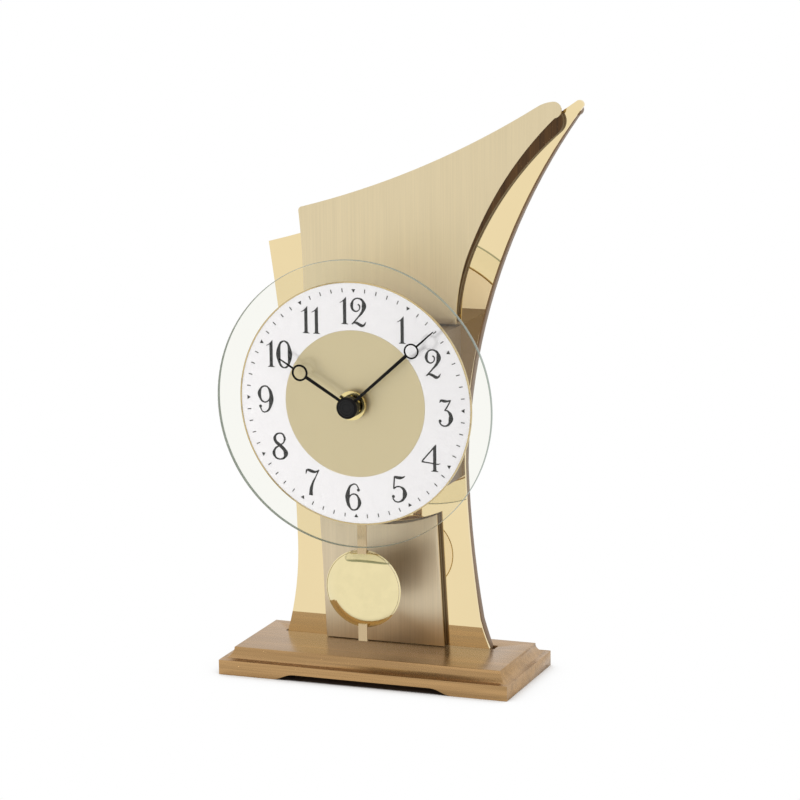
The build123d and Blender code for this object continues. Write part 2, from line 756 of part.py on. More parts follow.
# Circuit board and the pendulum's drive coil
board = block((-board_edge, board_edge), (board_face, board_back), (board_low, board_high))
parts["circuit_board"] = board
coil_front = hanger_back + magnet_length + magnet_gap
parts["pendulum_coil"] = ring(drive_coil_radius, drive_coil_bore, coil_front, board_face, magnet_axis)

# Battery and its two contacts
battery_back = cover_front + battery_sink
battery_axis_y = battery_back - battery_radius
can_length = battery_length - battery_nub_length
can_left = -battery_length / 2
nub_left = can_left + can_length
can = Pos(can_left + can_length / 2, 0, 0) * Rot(0, 90, 0) * Cylinder(battery_radius, can_length)
can += Pos(nub_left + battery_nub_length / 2, 0, 0) * Rot(0, 90, 0) * Cylinder(
    battery_nub_radius, battery_nub_length)
parts["battery"] = Pos(0, battery_axis_y, battery_z) * can
contact_z = (battery_z - contact_height / 2, battery_z + contact_height / 2)
contact_near = battery_length / 2 + contact_gap
contact_far = contact_near + contact_thickness
for name, side in (("contact_negative", -1), ("contact_positive", 1)):
    face_x = sorted((side * contact_near, side * contact_far))
    foot_x = sorted((side * contact_far, side * case_inner_half))
    contact = block(face_x, (inner_front, inner_front + contact_reach), contact_z)
    contact += block(foot_x, (inner_front, inner_front + contact_thickness), contact_z)
    parts[name] = contact

# Pendulum: pivot pin, hanger, magnet, rod and bob
parts["pivot_pin"] = disc(pivot_pin_radius, pivot_front, pivot_back, pivot_axis)
hanger_low = pivot_z - hanger_length
hanger = block((-hanger_width / 2, hanger_width / 2), (hanger_front, hanger_back), (hanger_low, pivot_z))
hub_front = hanger_middle - hanger_hub_length / 2
hub_back = hub_front + hanger_hub_length
hanger += disc(hanger_hub_radius, hub_front, hub_back, pivot_axis)
hanger -= disc(pivot_pin_radius + running_clearance, hub_front - overrun, hub_back + overrun, pivot_axis)
rod_back = hanger_front - rod_gap
rod_front = rod_back - rod_thickness
hook_axis = (0.0, hook_z)
hanger += disc(hook_radius, hanger_front - hook_reach, hanger_front, hook_axis)
parts["pendulum_hanger"] = hanger
parts["hanger_magnet"] = disc(magnet_radius, hanger_back, hanger_back + magnet_length, magnet_axis)

rod_top = hook_z + rod_above_hook - rod_width / 2
rod = block((-rod_width / 2, rod_width / 2), (rod_front, rod_back), (rod_tip_z, rod_top))
rod += disc(rod_width / 2, rod_front, rod_back, (0, rod_top))
rod -= disc(hook_radius + hook_clearance, rod_front - overrun, rod_back + overrun, hook_axis)
parts["pendulum_rod"] = rod


def dome_edge(radius, front, rim):
    """The arc of a shallow dome, from its crown on the axis to its rim."""
    rise = rim - front
    sphere = (radius ** 2 + rise ** 2) / (2 * rise)
    middle = radius / 2
    halfway = front + sphere - sqrt(sphere ** 2 - middle ** 2)
    return ThreePointArc((0, front), (middle, halfway), (radius, rim))


bob_back = rod_back + bob_back_thickness
bob_rim_front = bob_back - bob_rim - rod_thickness
bob_front = bob_rim_front - bob_dome
shell_inner = bob_radius - bob_shell_thickness
shell_profile = make_face([
    dome_edge(bob_radius, bob_front, bob_rim_front),
    Polyline((bob_radius, bob_rim_front), (bob_radius, bob_back), (shell_inner, bob_back),
             (shell_inner, bob_rim_front)),
    dome_edge(shell_inner, bob_front + bob_shell_thickness, bob_rim_front),
    Line((0, bob_front + bob_shell_thickness), (0, bob_front))])
bob_shell = Pos(0, 0, bob_z) * revolve(shell_profile, Axis.Y)
rod_way = block((-rod_width / 2, rod_width / 2), (rod_front, bob_back + overrun),
                (bob_z - bob_radius - overrun, bob_z + bob_radius + overrun))
parts["bob_shell"] = bob_shell - rod_way
bob_axis = (0.0, bob_z)
parts["bob_back"] = disc(shell_inner, rod_back, bob_back, bob_axis)
weight = disc(bob_weight_radius, rod_back - bob_weight_thickness, rod_back, bob_axis)
parts["bob_weight"] = weight - rod_way


def hand(reach, ring_at, ring_radius, stroke, front):
    """A slim pointer with an open ring, pointing up from the dial's centre at height zero."""
    back = front + hand_thickness
    stem = make_face(Polyline((-hand_root_width / 2, 0), (hand_root_width / 2, 0),
                              (hand_neck_width / 2, ring_at), (-hand_neck_width / 2, ring_at), close=True))
    point = make_face(Polyline((-hand_tip_root_width / 2, ring_at), (hand_tip_root_width / 2, ring_at),
                               (hand_tip_width / 2, reach), (-hand_tip_width / 2, reach), close=True))
    blade = plate(stem, front, back) + plate(point, front, back)
    blade += disc(ring_radius, front, back, (0, ring_at))
    return blade - disc(ring_radius - stroke, front - overrun, back + overrun, (0, ring_at))


hour_blade_front = (hour_hub_back + hour_hub_front - hand_thickness) / 2
minute_blade_front = (minute_hub_back + minute_hub_front - hand_thickness) / 2
hour_hand = hand(hour_reach, hour_ring_at, hour_ring_radius, hour_ring_stroke, hour_blade_front)
hour_hand += disc(hub_radius, hour_hub_front, hour_hub_back, (0, 0))
hour_hand -= disc(hour_tube_radius, hour_hub_front + bush_clearance, hour_hub_back + overrun, (0, 0))
hour_hand -= disc(arbor_radius + running_clearance, hour_hub_front - overrun, hour_hub_back, (0, 0))
parts["hour_hand"] = turned(hour_angle, hour_hand)
minute_hand = hand(minute_reach, minute_ring_at, minute_ring_radius, minute_ring_stroke, minute_blade_front)
minute_hand += disc(hub_radius, minute_hub_front, minute_hub_back, (0, 0))
minute_hand -= disc(arbor_radius, minute_hub_front - overrun, minute_hub_back + overrun, (0, 0))
parts["minute_hand"] = turned(minute_angle, minute_hand)
parts["hand_cap"] = disc(cap_radius, cap_front, minute_hub_front, centre)

os.makedirs("parts", exist_ok=True)
for name, solid in parts.items():
    export_step(solid, os.path.join("parts", name + ".step"))
print(len(parts), "nodes written")
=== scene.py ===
"""Looks of the desk pendulum clock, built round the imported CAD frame. Lengths are in metres."""

import logging
import math
from collections.abc import Iterable, Sequence
from dataclasses import dataclass, field
from enum import Enum

import bmesh
import bpy
from mathutils import Matrix, Vector
from mathutils.geometry import delaunay_2d_cdt


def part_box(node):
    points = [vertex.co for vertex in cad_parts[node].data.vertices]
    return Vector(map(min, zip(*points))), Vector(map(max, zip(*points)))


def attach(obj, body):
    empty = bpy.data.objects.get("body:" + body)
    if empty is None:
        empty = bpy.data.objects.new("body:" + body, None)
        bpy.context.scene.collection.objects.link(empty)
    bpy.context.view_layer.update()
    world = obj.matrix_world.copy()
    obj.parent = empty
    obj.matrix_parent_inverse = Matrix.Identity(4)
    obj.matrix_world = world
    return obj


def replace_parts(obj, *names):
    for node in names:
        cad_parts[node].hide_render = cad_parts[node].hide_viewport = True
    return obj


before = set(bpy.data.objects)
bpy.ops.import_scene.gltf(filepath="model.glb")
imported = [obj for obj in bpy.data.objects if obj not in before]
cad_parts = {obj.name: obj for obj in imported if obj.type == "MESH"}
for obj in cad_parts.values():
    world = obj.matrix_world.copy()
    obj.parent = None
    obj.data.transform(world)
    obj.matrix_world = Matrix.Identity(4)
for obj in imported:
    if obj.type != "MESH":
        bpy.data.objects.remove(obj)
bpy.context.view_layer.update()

log = logging.getLogger("clock")

Colour = tuple[int, int, int]
Linear = tuple[float, float, float, float]
Point2 = tuple[float, float]
Point3 = tuple[float, float, float]

MM = 0.001
MERGE = MM / 1000
FULL_TURN = 2 * math.pi
BYTE = 255
HOURS = 12
MINUTES = 60
WHITE: Linear = (1.0, 1.0, 1.0, 1.0)
BLACK: Linear = (0.0, 0.0, 0.0, 1.0)


class Slot(Enum):
    """Names of the finishes: one for each material slot of the record, and three besides."""

    BASE_GOLD = "base_gold"
    FELT = "felt"
    SCREW_STEEL = "screw_steel"
    PANEL_EDGE = "panel_edge"
    GOLD_MIRROR = "gold_mirror"
    DARK_BOARD = "dark_board"
    BRUSHED_GOLD = "brushed_gold"
    HOUSING = "housing"
    DIAL_WHITE = "dial_white"
    DIAL_GOLD = "dial_gold"
    RIM_GOLD = "rim_gold"
    CLEAR_GLASS = "clear_glass"
    POLISHED_BRASS = "polished_brass"
    SEAL_RUBBER = "seal_rubber"
    CASE_PLASTIC = "case_plastic"
    BOARD_GREEN = "board_green"
    COPPER_WIRE = "copper_wire"
    IRON_SHEET = "iron_sheet"
    CONTACT_METAL = "contact_metal"
    TURNED_BRASS = "turned_brass"
    HAND_BLACK = "hand_black"
    GEAR_PLASTIC = "gear_plastic"
    KNOB_PLASTIC = "knob_plastic"
    MAGNET_METAL = "magnet_metal"
    BATTERY_CAN = "battery_can"
    ROD_GOLD = "rod_gold"
    POLISHED_GOLD = "polished_gold"
    WEIGHT_IRON = "weight_iron"
    BOB_BACK_PLATE = "bob_back_plate"
    FIGURE_INK = "figure_ink"
    LOWER_GOLD = "lower_gold"
    CAP_BLACK = "cap_black"

    @property
    def recorded(self) -> str:
        """Name the record's slot that a finish belongs to, for finishes that it doesn't list."""
        kin = {Slot.FIGURE_INK: Slot.HAND_BLACK, Slot.CAP_BLACK: Slot.HAND_BLACK,
               Slot.LOWER_GOLD: Slot.BRUSHED_GOLD}
        return kin.get(self, self).value


class Axis(Enum):
    """A direction that grain, brushing or a lathe follows."""

    X = 0
    Y = 1
    Z = 2


def linear(colour: Colour) -> Linear:
    """Turn a colour as seen on a screen into the linear one that shaders use.

    Args:
        colour: Red, green and blue, from 0 to 255.

    Returns:
        Linear red, green and blue from 0 to 1, and an alpha of 1.
    """
    knee, slope, offset, power = 0.04045, 12.92, 0.055, 2.4
    red, green, blue = (
        share / slope if share <= knee else ((share + offset) / (1 + offset)) ** power
        for share in (part / BYTE for part in colour)
    )
    return (red, green, blue, 1.0)


@dataclass
class Signal:
    """A shader socket that carries one number, so that sums on it can be written as Python."""

    sheet: "NodeSheet"
    socket: bpy.types.NodeSocket

    def joined(self, operation: str, *others: "Signal | float") -> "Signal":
        """Give the result of a Math node on this number and others."""
        return self.sheet.math(operation, self, *others)

    def __add__(self, other: "Signal | float") -> "Signal":
        """Add a number."""
        return self.joined("ADD", other)

    def __radd__(self, other: float) -> "Signal":
        """Add this to a plain number."""
        return self.joined("ADD", other)

    def __sub__(self, other: "Signal | float") -> "Signal":
        """Take a number away."""
        return self.joined("SUBTRACT", other)

    def __rsub__(self, other: float) -> "Signal":
        """Take this away from a plain number."""
        return self.sheet.math("SUBTRACT", other, self)

    def __mul__(self, other: "Signal | float") -> "Signal":
        """Multiply by a number."""
        return self.joined("MULTIPLY", other)

    def __rmul__(self, other: float) -> "Signal":
        """Multiply a plain number by this."""
        return self.joined("MULTIPLY", other)

    def __truediv__(self, other: "Signal | float") -> "Signal":
        """Divide by a number."""
        return self.joined("DIVIDE", other)

    def __pow__(self, other: "Signal | float") -> "Signal":
        """Raise to a power."""
        return self.joined("POWER", other)

    def above(self, limit: "Signal | float") -> "Signal":
        """Give 1 where this is above a limit, and else 0."""
        return self.joined("GREATER_THAN", limit)

    def largest(self, other: "Signal | float") -> "Signal":
        """Give the larger of this and another number."""
        return self.joined("MAXIMUM", other)

    def swing(self, spread: float) -> "Signal":
        """Give how far this noise is from its middle of a half, times a spread."""
        return (self - 0.5) * spread

    def ramp(self, low: float, high: float) -> "Signal":
        """Give 0 below low, 1 above high, and a smooth rise between."""
        settings = {"interpolation_type": "SMOOTHSTEP"}
        sockets = {"Value": self, "From Min": low, "From Max": high}
        return self.sheet.number("ShaderNodeMapRange", settings, sockets, "Result")


Feed = Signal | bpy.types.NodeSocket | float | Sequence[float]


class NodeSheet:
    """A node tree, and the few calls that fill it."""

    def __init__(self, tree: bpy.types.NodeTree) -> None:
        """Keep the tree.

        Args:
            tree: The node tree of a material or of the world.
        """
        self.tree = tree

    def node(self, kind: str, settings: dict[str, object] | None = None,
             sockets: dict[str, Feed] | None = None) -> bpy.types.Node:
        """Add one node.

        Args:
            kind: The node's type.
            settings: Properties, which are set first.
            sockets: A value or a link for each named input.

        Returns:
            The new node.
        """
        made = self.tree.nodes.new(kind)
        for name, value in (settings or {}).items():
            setattr(made, name, value)
        for name, feed in (sockets or {}).items():
            self.feed(self.find(made.inputs, name), feed)
        return made

    @staticmethod
    def find(sockets: Iterable[bpy.types.NodeSocket], name: str) -> bpy.types.NodeSocket:
        """Find a socket by its identifier or, failing that, by its name."""
        listed = list(sockets)
        by_identifier = [socket for socket in listed if socket.identifier == name]
        return (by_identifier or [socket for socket in listed if socket.name == name])[0]

    def feed(self, socket: bpy.types.NodeSocket, feed: Feed) -> None:
        """Set an input to a value, or link it."""
        if isinstance(feed, Signal):
            self.tree.links.new(feed.socket, socket)
        elif isinstance(feed, bpy.types.NodeSocket):
            self.tree.links.new(feed, socket)
        else:
            socket.default_value = feed

    def number(self, kind: str, settings: dict[str, object] | None, sockets: dict[str, Feed],
               output: str) -> Signal:
        """Add a node and give one of its outputs as a number."""
        return Signal(self, self.find(self.node(kind, settings, sockets).outputs, output))

    def math(self, operation: str, *terms: "Signal | float") -> Signal:
        """Add a Math node.

        Args:
            operation: What it works out.
            terms: Its inputs, in order.

        Returns:
            The result.
        """
        made = self.node("ShaderNodeMath", {"operation": operation})
        for socket, term in zip(made.inputs, terms):
            self.feed(socket, term)
        return Signal(self, made.outputs[0])

    def vector(self, operation: str, *terms: Feed) -> bpy.types.NodeSocket:
        """Add a Vector Math node and give its result."""
        made = self.node("ShaderNodeVectorMath", {"operation": operation})
        for socket, term in zip(made.inputs, terms):
            self.feed(socket, term)
        return made.outputs["Vector"]

    def blend(self, share: Feed, first: Feed, second: Feed) -> bpy.types.NodeSocket:
        """Mix two colours.

        Args:
            share: How much of the second colour there is.
            first: The colour where the share is 0.
            second: The colour where the share is 1.

        Returns:
            The mixed colour's socket.
        """
        sockets = {"Factor_Float": share, "A_Color": first, "B_Color": second}
        made = self.node("ShaderNodeMix", {"data_type": "RGBA"}, sockets)
        return self.find(made.outputs, "Result_Color")

    def place(self) -> bpy.types.NodeSocket:
        """Give the point on the piece, in the object's own frame."""
        return self.node("ShaderNodeTexCoord").outputs["Object"]

    def parts_of(self, vector: bpy.types.NodeSocket) -> tuple[Signal, Signal, Signal]:
        """Split a vector into its three numbers."""
        split = self.node("ShaderNodeSeparateXYZ", None, {"Vector": vector})
        across, depth, height = (Signal(self, socket) for socket in split.outputs)
        return across, depth, height

    def centred(self, centre: Sequence[float]) -> bpy.types.NodeSocket:
        """Give the point on the piece as seen from a centre."""
        shift = tuple(-value for value in centre)
        sockets = {"Vector": self.place(), "Location": shift}
        return self.node("ShaderNodeMapping", None, sockets).outputs["Vector"]

    def noise(self, at: Feed, detail: float = 2.0) -> Signal:
        """Give a soft noise from 0 to 1, with features about one unit wide."""
        sockets = {"Vector": at, "Scale": 1.0, "Detail": detail}
        return self.number("ShaderNodeTexNoise", None, sockets, "Fac")

    def stretched(self, at: Feed, grain: Sequence[float]) -> bpy.types.NodeSocket:
        """Scale a point so that one unit is one grain along each axis."""
        return self.vector("DIVIDE", at, tuple(grain))


class Paint(NodeSheet):
    """A material and its Principled shader."""

    def __init__(self, name: str) -> None:
        """Make the material.

        Args:
            name: The material's name.
        """
        self.material = bpy.data.materials.new(name)
        self.material.use_nodes = True
        super().__init__(self.material.node_tree)
        self.shader = self.tree.nodes["Principled BSDF"]
        self.output = self.tree.nodes["Material Output"]

    def set(self, sockets: dict[str, Feed]) -> None:
        """Set or link inputs of the shader."""
        for name, feed in sockets.items():
            self.feed(self.shader.inputs[name], feed)

    def bump(self, height: Signal, depth: float) -> None:
        """Raise the surface by a pattern.

        Args:
            height: The pattern, from 0 to 1.
            depth: How far it stands out, in metres.
        """
        sockets = {"Height": height, "Distance": depth, "Strength": 1.0}
        made = self.node("ShaderNodeBump", None, sockets)
        self.feed(self.shader.inputs["Normal"], made.outputs["Normal"])

    def mixed(self, share: Signal, first: bpy.types.Node,
              second: bpy.types.Node) -> bpy.types.Node:
        """Mix two shaders.

        Args:
            share: How much of the second shader there is.
            first: The shader where the share is 0.
            second: The shader where the share is 1.

        Returns:
            The node that mixes them.
        """
        made = self.node("ShaderNodeMixShader", None, {"Fac": share})
        self.tree.links.new(first.outputs[0], made.inputs[1])
        self.tree.links.new(second.outputs[0], made.inputs[2])
        return made

    def shown_by(self, shader: bpy.types.Node) -> None:
        """Let another shader be the surface."""
        self.tree.links.new(shader.outputs[0], self.output.inputs["Surface"])


@dataclass(frozen=True)
class Finish:
    """A plain finish with a faint mottle. Other finishes build on it."""

    name: str
    colour: Colour
    roughness: float
    metallic: float = 0.0
    mottle: float = 0.02
    mottle_size: float = 6 * MM
    mottle_range: tuple[float, float] = (0.3, 0.7)
    grit: float = 0.0
    grit_size: float = 0.25 * MM
    specular: float = 0.5

    def build(self) -> bpy.types.Material:
        """Build the material."""
        paint = Paint(self.name)
        at = paint.place()
        drift = paint.noise(paint.stretched(at, (self.mottle_size,) * 3), detail=3.0)
        self.fill(paint, at, drift)
        return paint.material

    def fill(self, paint: Paint, at: bpy.types.NodeSocket, drift: Signal) -> None:
        """Set the shader from the finish's values and a slow drift over the surface."""
        paint.set({
            "Metallic": self.metallic,
            "Specular IOR Level": self.specular,
            "Base Color": self.toned(paint, drift),
            "Roughness": drift.swing(self.mottle * 2) + self.roughness,
        })
        if self.grit:
            grains = paint.noise(paint.stretched(at, (self.grit_size,) * 3))
            paint.bump(grains, self.grit)

    def toned(self, paint: Paint, drift: Signal) -> bpy.types.NodeSocket:
        """Give the colour, a little darker and lighter as the drift goes."""
        dark = shaded(self.colour, 1 - self.mottle)
        light = shaded(self.colour, 1 + self.mottle)
        return paint.blend(drift.ramp(*self.mottle_range), dark, light)


def shaded(colour: Colour, factor: float) -> Linear:
    """Give a linear colour made darker or lighter by a factor."""
    red, green, blue, alpha = linear(colour)
    return (min(red * factor, 1.0), min(green * factor, 1.0), min(blue * factor, 1.0), alpha)


@dataclass(frozen=True)
class Brushed(Finish):
    """Metal brushed along one axis: fine streaks in colour, roughness and height."""

    along: Axis = Axis.Z
    streak_length: float = 45 * MM
    streak_width: float = 0.35 * MM
    streak_contrast: float = 0.06
    streak_depth: float = 0.004 * MM
    band_width: float = 5 * MM
    band_contrast: float = 0.03
    roughness_spread: float = 0.2

    def grain(self, width: float) -> tuple[float, float, float]:
        """Give the size of one streak along each axis."""
        sizes = [width] * 3
        sizes[self.along.value] = self.streak_length
        return (sizes[0], sizes[1], sizes[2])

    def fill(self, paint: Paint, at: bpy.types.NodeSocket, drift: Signal) -> None:
        """Set the shader, with fine streaks and broad bands in place of the drift."""
        streaks = paint.noise(paint.stretched(at, self.grain(self.streak_width)), detail=4.0)
        bands = paint.noise(paint.stretched(at, self.grain(self.band_width)))
        tone = streaks.swing(self.streak_contrast * 2) + bands.swing(self.band_contrast * 2) + 0.5
        dark = shaded(self.colour, 1 - self.streak_contrast * 2)
        light = shaded(self.colour, 1 + self.streak_contrast * 2)
        paint.set({
            "Metallic": self.metallic,
            "Base Color": paint.blend(tone, dark, light),
            "Roughness": streaks.swing(self.roughness_spread) + self.roughness,
        })
        if self.streak_depth:
            paint.bump(streaks, self.streak_depth)


@dataclass(frozen=True)
class Turned(Finish):
    """Metal turned on a lathe: fine rings round an axis."""

    centre: Point3 = (0.0, 0.0, 0.0)
    axle: Axis = Axis.Y
    ring_pitch: float = 0.3 * MM
    ring_depth: float = 0.002 * MM
    roughness_spread: float = 0.16

    def fill(self, paint: Paint, at: bpy.types.NodeSocket, drift: Signal) -> None:
        """Set the shader, with turning rings in roughness and height."""
        super().fill(paint, at, drift)
        parts = list(paint.parts_of(paint.centred(self.centre)))
        parts.pop(self.axle.value)
        radius = (parts[0] ** 2 + parts[1] ** 2) ** 0.5
        sockets = {"W": radius / self.ring_pitch, "Scale": 1.0, "Detail": 2.0}
        rings = paint.number("ShaderNodeTexNoise", {"noise_dimensions": "1D"}, sockets, "Fac")
        paint.set({"Roughness": rings.swing(self.roughness_spread) + self.roughness})
        paint.bump(rings, self.ring_depth)


@dataclass(frozen=True)
class Lacquered(Finish):
    """Wood under a metallic lacquer: long soft grain along one axis."""

    along: Axis = Axis.X
    grain_length: float = 60 * MM
    grain_width: float = 1.1 * MM
    grain_contrast: float = 0.1
    grain_depth: float = 0.02 * MM
    fine_share: float = 0.9
    broad_share: float = 0.7
    broad_ratio: float = 5.0
    tone_range: tuple[float, float] = (0.2, 0.8)
    roughness_spread: float = 0.16
    fleck_share: float = 0.4

    def fill(self, paint: Paint, at: bpy.types.NodeSocket, drift: Signal) -> None:
        """Set the shader, with grain in colour and height and flecks in roughness."""
        sizes = [self.grain_width] * 3
        sizes[self.along.value] = self.grain_length
        grain = paint.noise(paint.stretched(at, sizes), detail=5.0)
        broad = paint.noise(paint.stretched(at, [size * self.broad_ratio for size in sizes]))
        tone = grain.swing(self.fine_share) + broad.swing(self.broad_share) + 0.5
        dark = shaded(self.colour, 1 - self.grain_contrast)
        light = shaded(self.colour, 1 + self.grain_contrast)
        flecks = paint.noise(paint.stretched(at, (self.grit_size,) * 3))
        paint.set({
            "Metallic": self.metallic,
            "Base Color": paint.blend(tone.ramp(*self.tone_range), dark, light),
            "Roughness": flecks.swing(self.roughness_spread) + self.roughness,
        })
        paint.bump(grain + flecks * self.fleck_share, self.grain_depth)


@dataclass(frozen=True)
class BackLit(Finish):
    """A finish with painted light: it glows behind a depth and, where one is set, right of a side
    place, though it is no lamp.
    """

    back_place: float = 0.0
    side_place: float = -1.0
    back_light: float = 0.43

    def fill(self, paint: Paint, at: bpy.types.NodeSocket, drift: Signal) -> None:
        """Set the shader, and paint a glow on the back as emission."""
        super().fill(paint, at, drift)
        across, depth, _ = paint.parts_of(at)
        # Painted light: the glow covers only the back beyond the depth and, where one is set, the
        # part right of the side place.
        behind = depth.above(self.back_place) * across.above(self.side_place)
        glow = (self.back_light,) * 3 + (1.0,)
        paint.set({"Emission Color": paint.blend(behind, BLACK, glow), "Emission Strength": 1.0})


@dataclass(frozen=True)
class ClearGlass(Finish):
    """Thin clear glass: what is behind shows through, tinted more at its polished edge."""

    centre: Point3 = (0.0, 0.0, 0.0)
    edge_radius: float = 1.0
    edge_colour: Colour = (164, 174, 164)
    edge_share: float = 0.6
    gleam_head_on: float = 0.035
    gleam_power: float = 5.0

    def build(self) -> bpy.types.Material:
        """Build the material from a clear and a glossy shader."""
        paint = Paint(self.name)
        across, _, height = paint.parts_of(paint.centred(self.centre))
        radius = (across ** 2 + height ** 2) ** 0.5
        at_edge = radius.above(self.edge_radius)
        tint = paint.blend(at_edge, linear(self.colour), linear(self.edge_colour))
        clear = paint.node("ShaderNodeBsdfTransparent", None, {"Color": tint})
        paint.set({"Base Color": tint, "Roughness": self.roughness, "Metallic": 0.0})
        sheen = paint.node("ShaderNodeBsdfGlossy", None, {"Roughness": self.roughness})
        slant = paint.number("ShaderNodeLayerWeight", None, {"Blend": 0.5}, "Facing")
        gleam = slant ** self.gleam_power * (1 - self.gleam_head_on) + self.gleam_head_on
        face = paint.mixed(gleam, clear, sheen)
        paint.shown_by(paint.mixed(at_edge * self.edge_share, face, paint.shader))
        return paint.material


def in_scene(name: str, data: bpy.types.ID) -> bpy.types.Object:
    """Put a mesh, a lamp or a camera into the scene, as an object at the origin."""
    made = bpy.data.objects.new(name, data)
    bpy.context.scene.collection.objects.link(made)
    return made


class Recipe(NodeSheet):
    """A Geometry Nodes tree with named inputs for its sizes."""

    def __init__(self, name: str) -> None:
        """Make an empty recipe.

        Args:
            name: The tree's name.
        """
        tree = bpy.data.node_groups.new(name, "GeometryNodeTree")
        for way in ("INPUT", "OUTPUT"):
            tree.interface.new_socket(name="Geometry", in_out=way, socket_type="NodeSocketGeometry")
        super().__init__(tree)
        self.start = self.node("NodeGroupInput")
        self.end = self.node("NodeGroupOutput")

    def input(self, name: str, kind: str = "NodeSocketFloat") -> bpy.types.NodeSocket:
        """Add a named input and give its socket."""
        self.tree.interface.new_socket(name=name, in_out="INPUT", socket_type=kind)
        return self.find(self.start.outputs, name)

    def size(self, name: str) -> Signal:
        """Add a named number and give it for sums."""
        return Signal(self, self.input(name))

    def upright(self, geometry: bpy.types.NodeSocket) -> bpy.types.NodeSocket:
        """Turn geometry from the floor plane to face the front, and move it to its centre."""
        sockets = {"Geometry": geometry, "Rotation": (math.pi / 2, 0.0, 0.0),
                   "Translation": self.input("Centre", "NodeSocketVector")}
        return self.node("GeometryNodeTransform", None, sockets).outputs["Geometry"]

    def end_with(self, geometry: bpy.types.NodeSocket) -> None:
        """Realize the result and give it its material."""
        whole = self.node("GeometryNodeRealizeInstances", None, {"Geometry": geometry})
        sockets = {"Geometry": whole.outputs["Geometry"],
                   "Material": self.input("Material", "NodeSocketMaterial")}
        coloured = self.node("GeometryNodeSetMaterial", None, sockets)
        self.tree.links.new(coloured.outputs["Geometry"], self.end.inputs["Geometry"])

    def make(self, name: str, seed: bpy.types.Mesh, inputs: dict[str, object]) -> bpy.types.Object:
        """Run the recipe and keep its result as a plain mesh.

        Args:
            name: The new piece's name.
            seed: The mesh that the recipe starts from.
            inputs: A value for each named input.

        Returns:
            The new piece, with no modifier.
        """
        holder = in_scene(name + "_seed", seed)
        modifier = holder.modifiers.new("recipe", "NODES")
        modifier.node_group = self.tree
        for item in self.tree.interface.items_tree:
            if item.in_out == "INPUT" and item.name in inputs:
                modifier[item.identifier] = inputs[item.name]
        seen = holder.evaluated_get(bpy.context.evaluated_depsgraph_get())
        mesh = bpy.data.meshes.new_from_object(seen)
        mesh.name = name
        holder.modifiers.remove(modifier)
        bpy.data.objects.remove(holder)
        return in_scene(name, mesh)


class Lathe(Recipe):
    """Turns a profile round an axis that points to the front."""

    def __init__(self) -> None:
        """Build the recipe: the profile follows a small ring, which its radii are measured from."""
        super().__init__("lathe")
        self.core = 1 * MM
        line = self.node("GeometryNodeMeshToCurve", None, {"Mesh": self.start.outputs["Geometry"]})
        ring = self.node("GeometryNodeCurvePrimitiveCircle", None,
                         {"Resolution": self.input("Steps", "NodeSocketInt"), "Radius": self.core})
        sockets = {"Curve": ring.outputs["Curve"], "Profile Curve": line.outputs["Curve"]}
        swept = self.node("GeometryNodeCurveToMesh", None, sockets)
        closed = self.node("GeometryNodeMergeByDistance", None,
                           {"Geometry": swept.outputs["Mesh"], "Distance": MERGE})
        self.end_with(self.upright(closed.outputs["Geometry"]))

    def turn(self, name: str, profile: Sequence[Point2], centre: Point2, material: bpy.types.Material,
             steps: int = 180) -> bpy.types.Object:
        """Turn one piece.

        Args:
            name: The piece's name.
            profile: Radius and depth of each corner, in order round a closed outline.
            centre: Where the axis is, across and up.
            material: The piece's material.
            steps: How many faces go round.

        Returns:
            The turned piece, smooth but for its sharp edges.
        """
        mesh = bpy.data.meshes.new(name + "_profile")
        corners = [(radius - self.core, depth, 0.0) for radius, depth in profile]
        count = len(corners)
        mesh.from_pydata(corners, [(at, (at + 1) % count) for at in range(count)], [])
        place = (centre[0], 0.0, centre[1])
        piece = self.make(name, mesh, {"Steps": steps, "Centre": place, "Material": material})
        tidy_mesh(piece.data)
        return piece


class RingOfMarks(Recipe):
    """Sets marks on a ring that faces the front, all but every fifth or only those."""

    def __init__(self) -> None:
        """Build the recipe."""
        super().__init__("ring_of_marks")
        count = self.input("Count", "NodeSocketInt")
        ring = self.node("GeometryNodeMeshCircle", {"fill_type": "NONE"},
                         {"Vertices": count, "Radius": self.size("Radius")})
        points = self.node("GeometryNodeMeshToPoints", None, {"Mesh": ring.outputs["Mesh"]})
        index = Signal(self, self.node("GeometryNodeInputIndex").outputs["Index"])
        half, nearly = 0.5, 0.1
        fifth = 1 - self.math("MODULO", index, MINUTES / HOURS).above(half)
        only = self.size("Only fifths")
        wanted = self.math("COMPARE", fifth, only, nearly)
        angle = index * FULL_TURN / Signal(self, count)
        turn = self.node("ShaderNodeCombineXYZ", None, {"Z": angle})
        turned = self.node("FunctionNodeEulerToRotation", None, {"Euler": turn.outputs["Vector"]})
        thickness = self.size("Thickness")
        length, width = self.size("Length"), self.size("Width")
        bar_size = self.node("ShaderNodeCombineXYZ", None, {"X": length, "Y": width, "Z": thickness})
        bar = self.node("GeometryNodeMeshCube", None, {"Size": bar_size.outputs["Vector"]})
        wedge = self.node("GeometryNodeMeshCylinder", None,
                          {"Vertices": 3, "Radius": length * half, "Depth": thickness})
        inward = self.node("GeometryNodeTransform", None,
                           {"Geometry": wedge.outputs["Mesh"], "Rotation": (0.0, 0.0, math.pi)})
        either = self.node("GeometryNodeSwitch", {"input_type": "GEOMETRY"},
                           {"Switch": only, "False": bar.outputs["Mesh"],
                            "True": inward.outputs["Geometry"]})
        sockets = {"Points": points.outputs["Points"], "Selection": wanted,
                   "Instance": either.outputs["Output"], "Rotation": turned.outputs["Rotation"]}
        marks = self.node("GeometryNodeInstanceOnPoints", None, sockets)
        self.end_with(self.upright(marks.outputs["Instances"]))


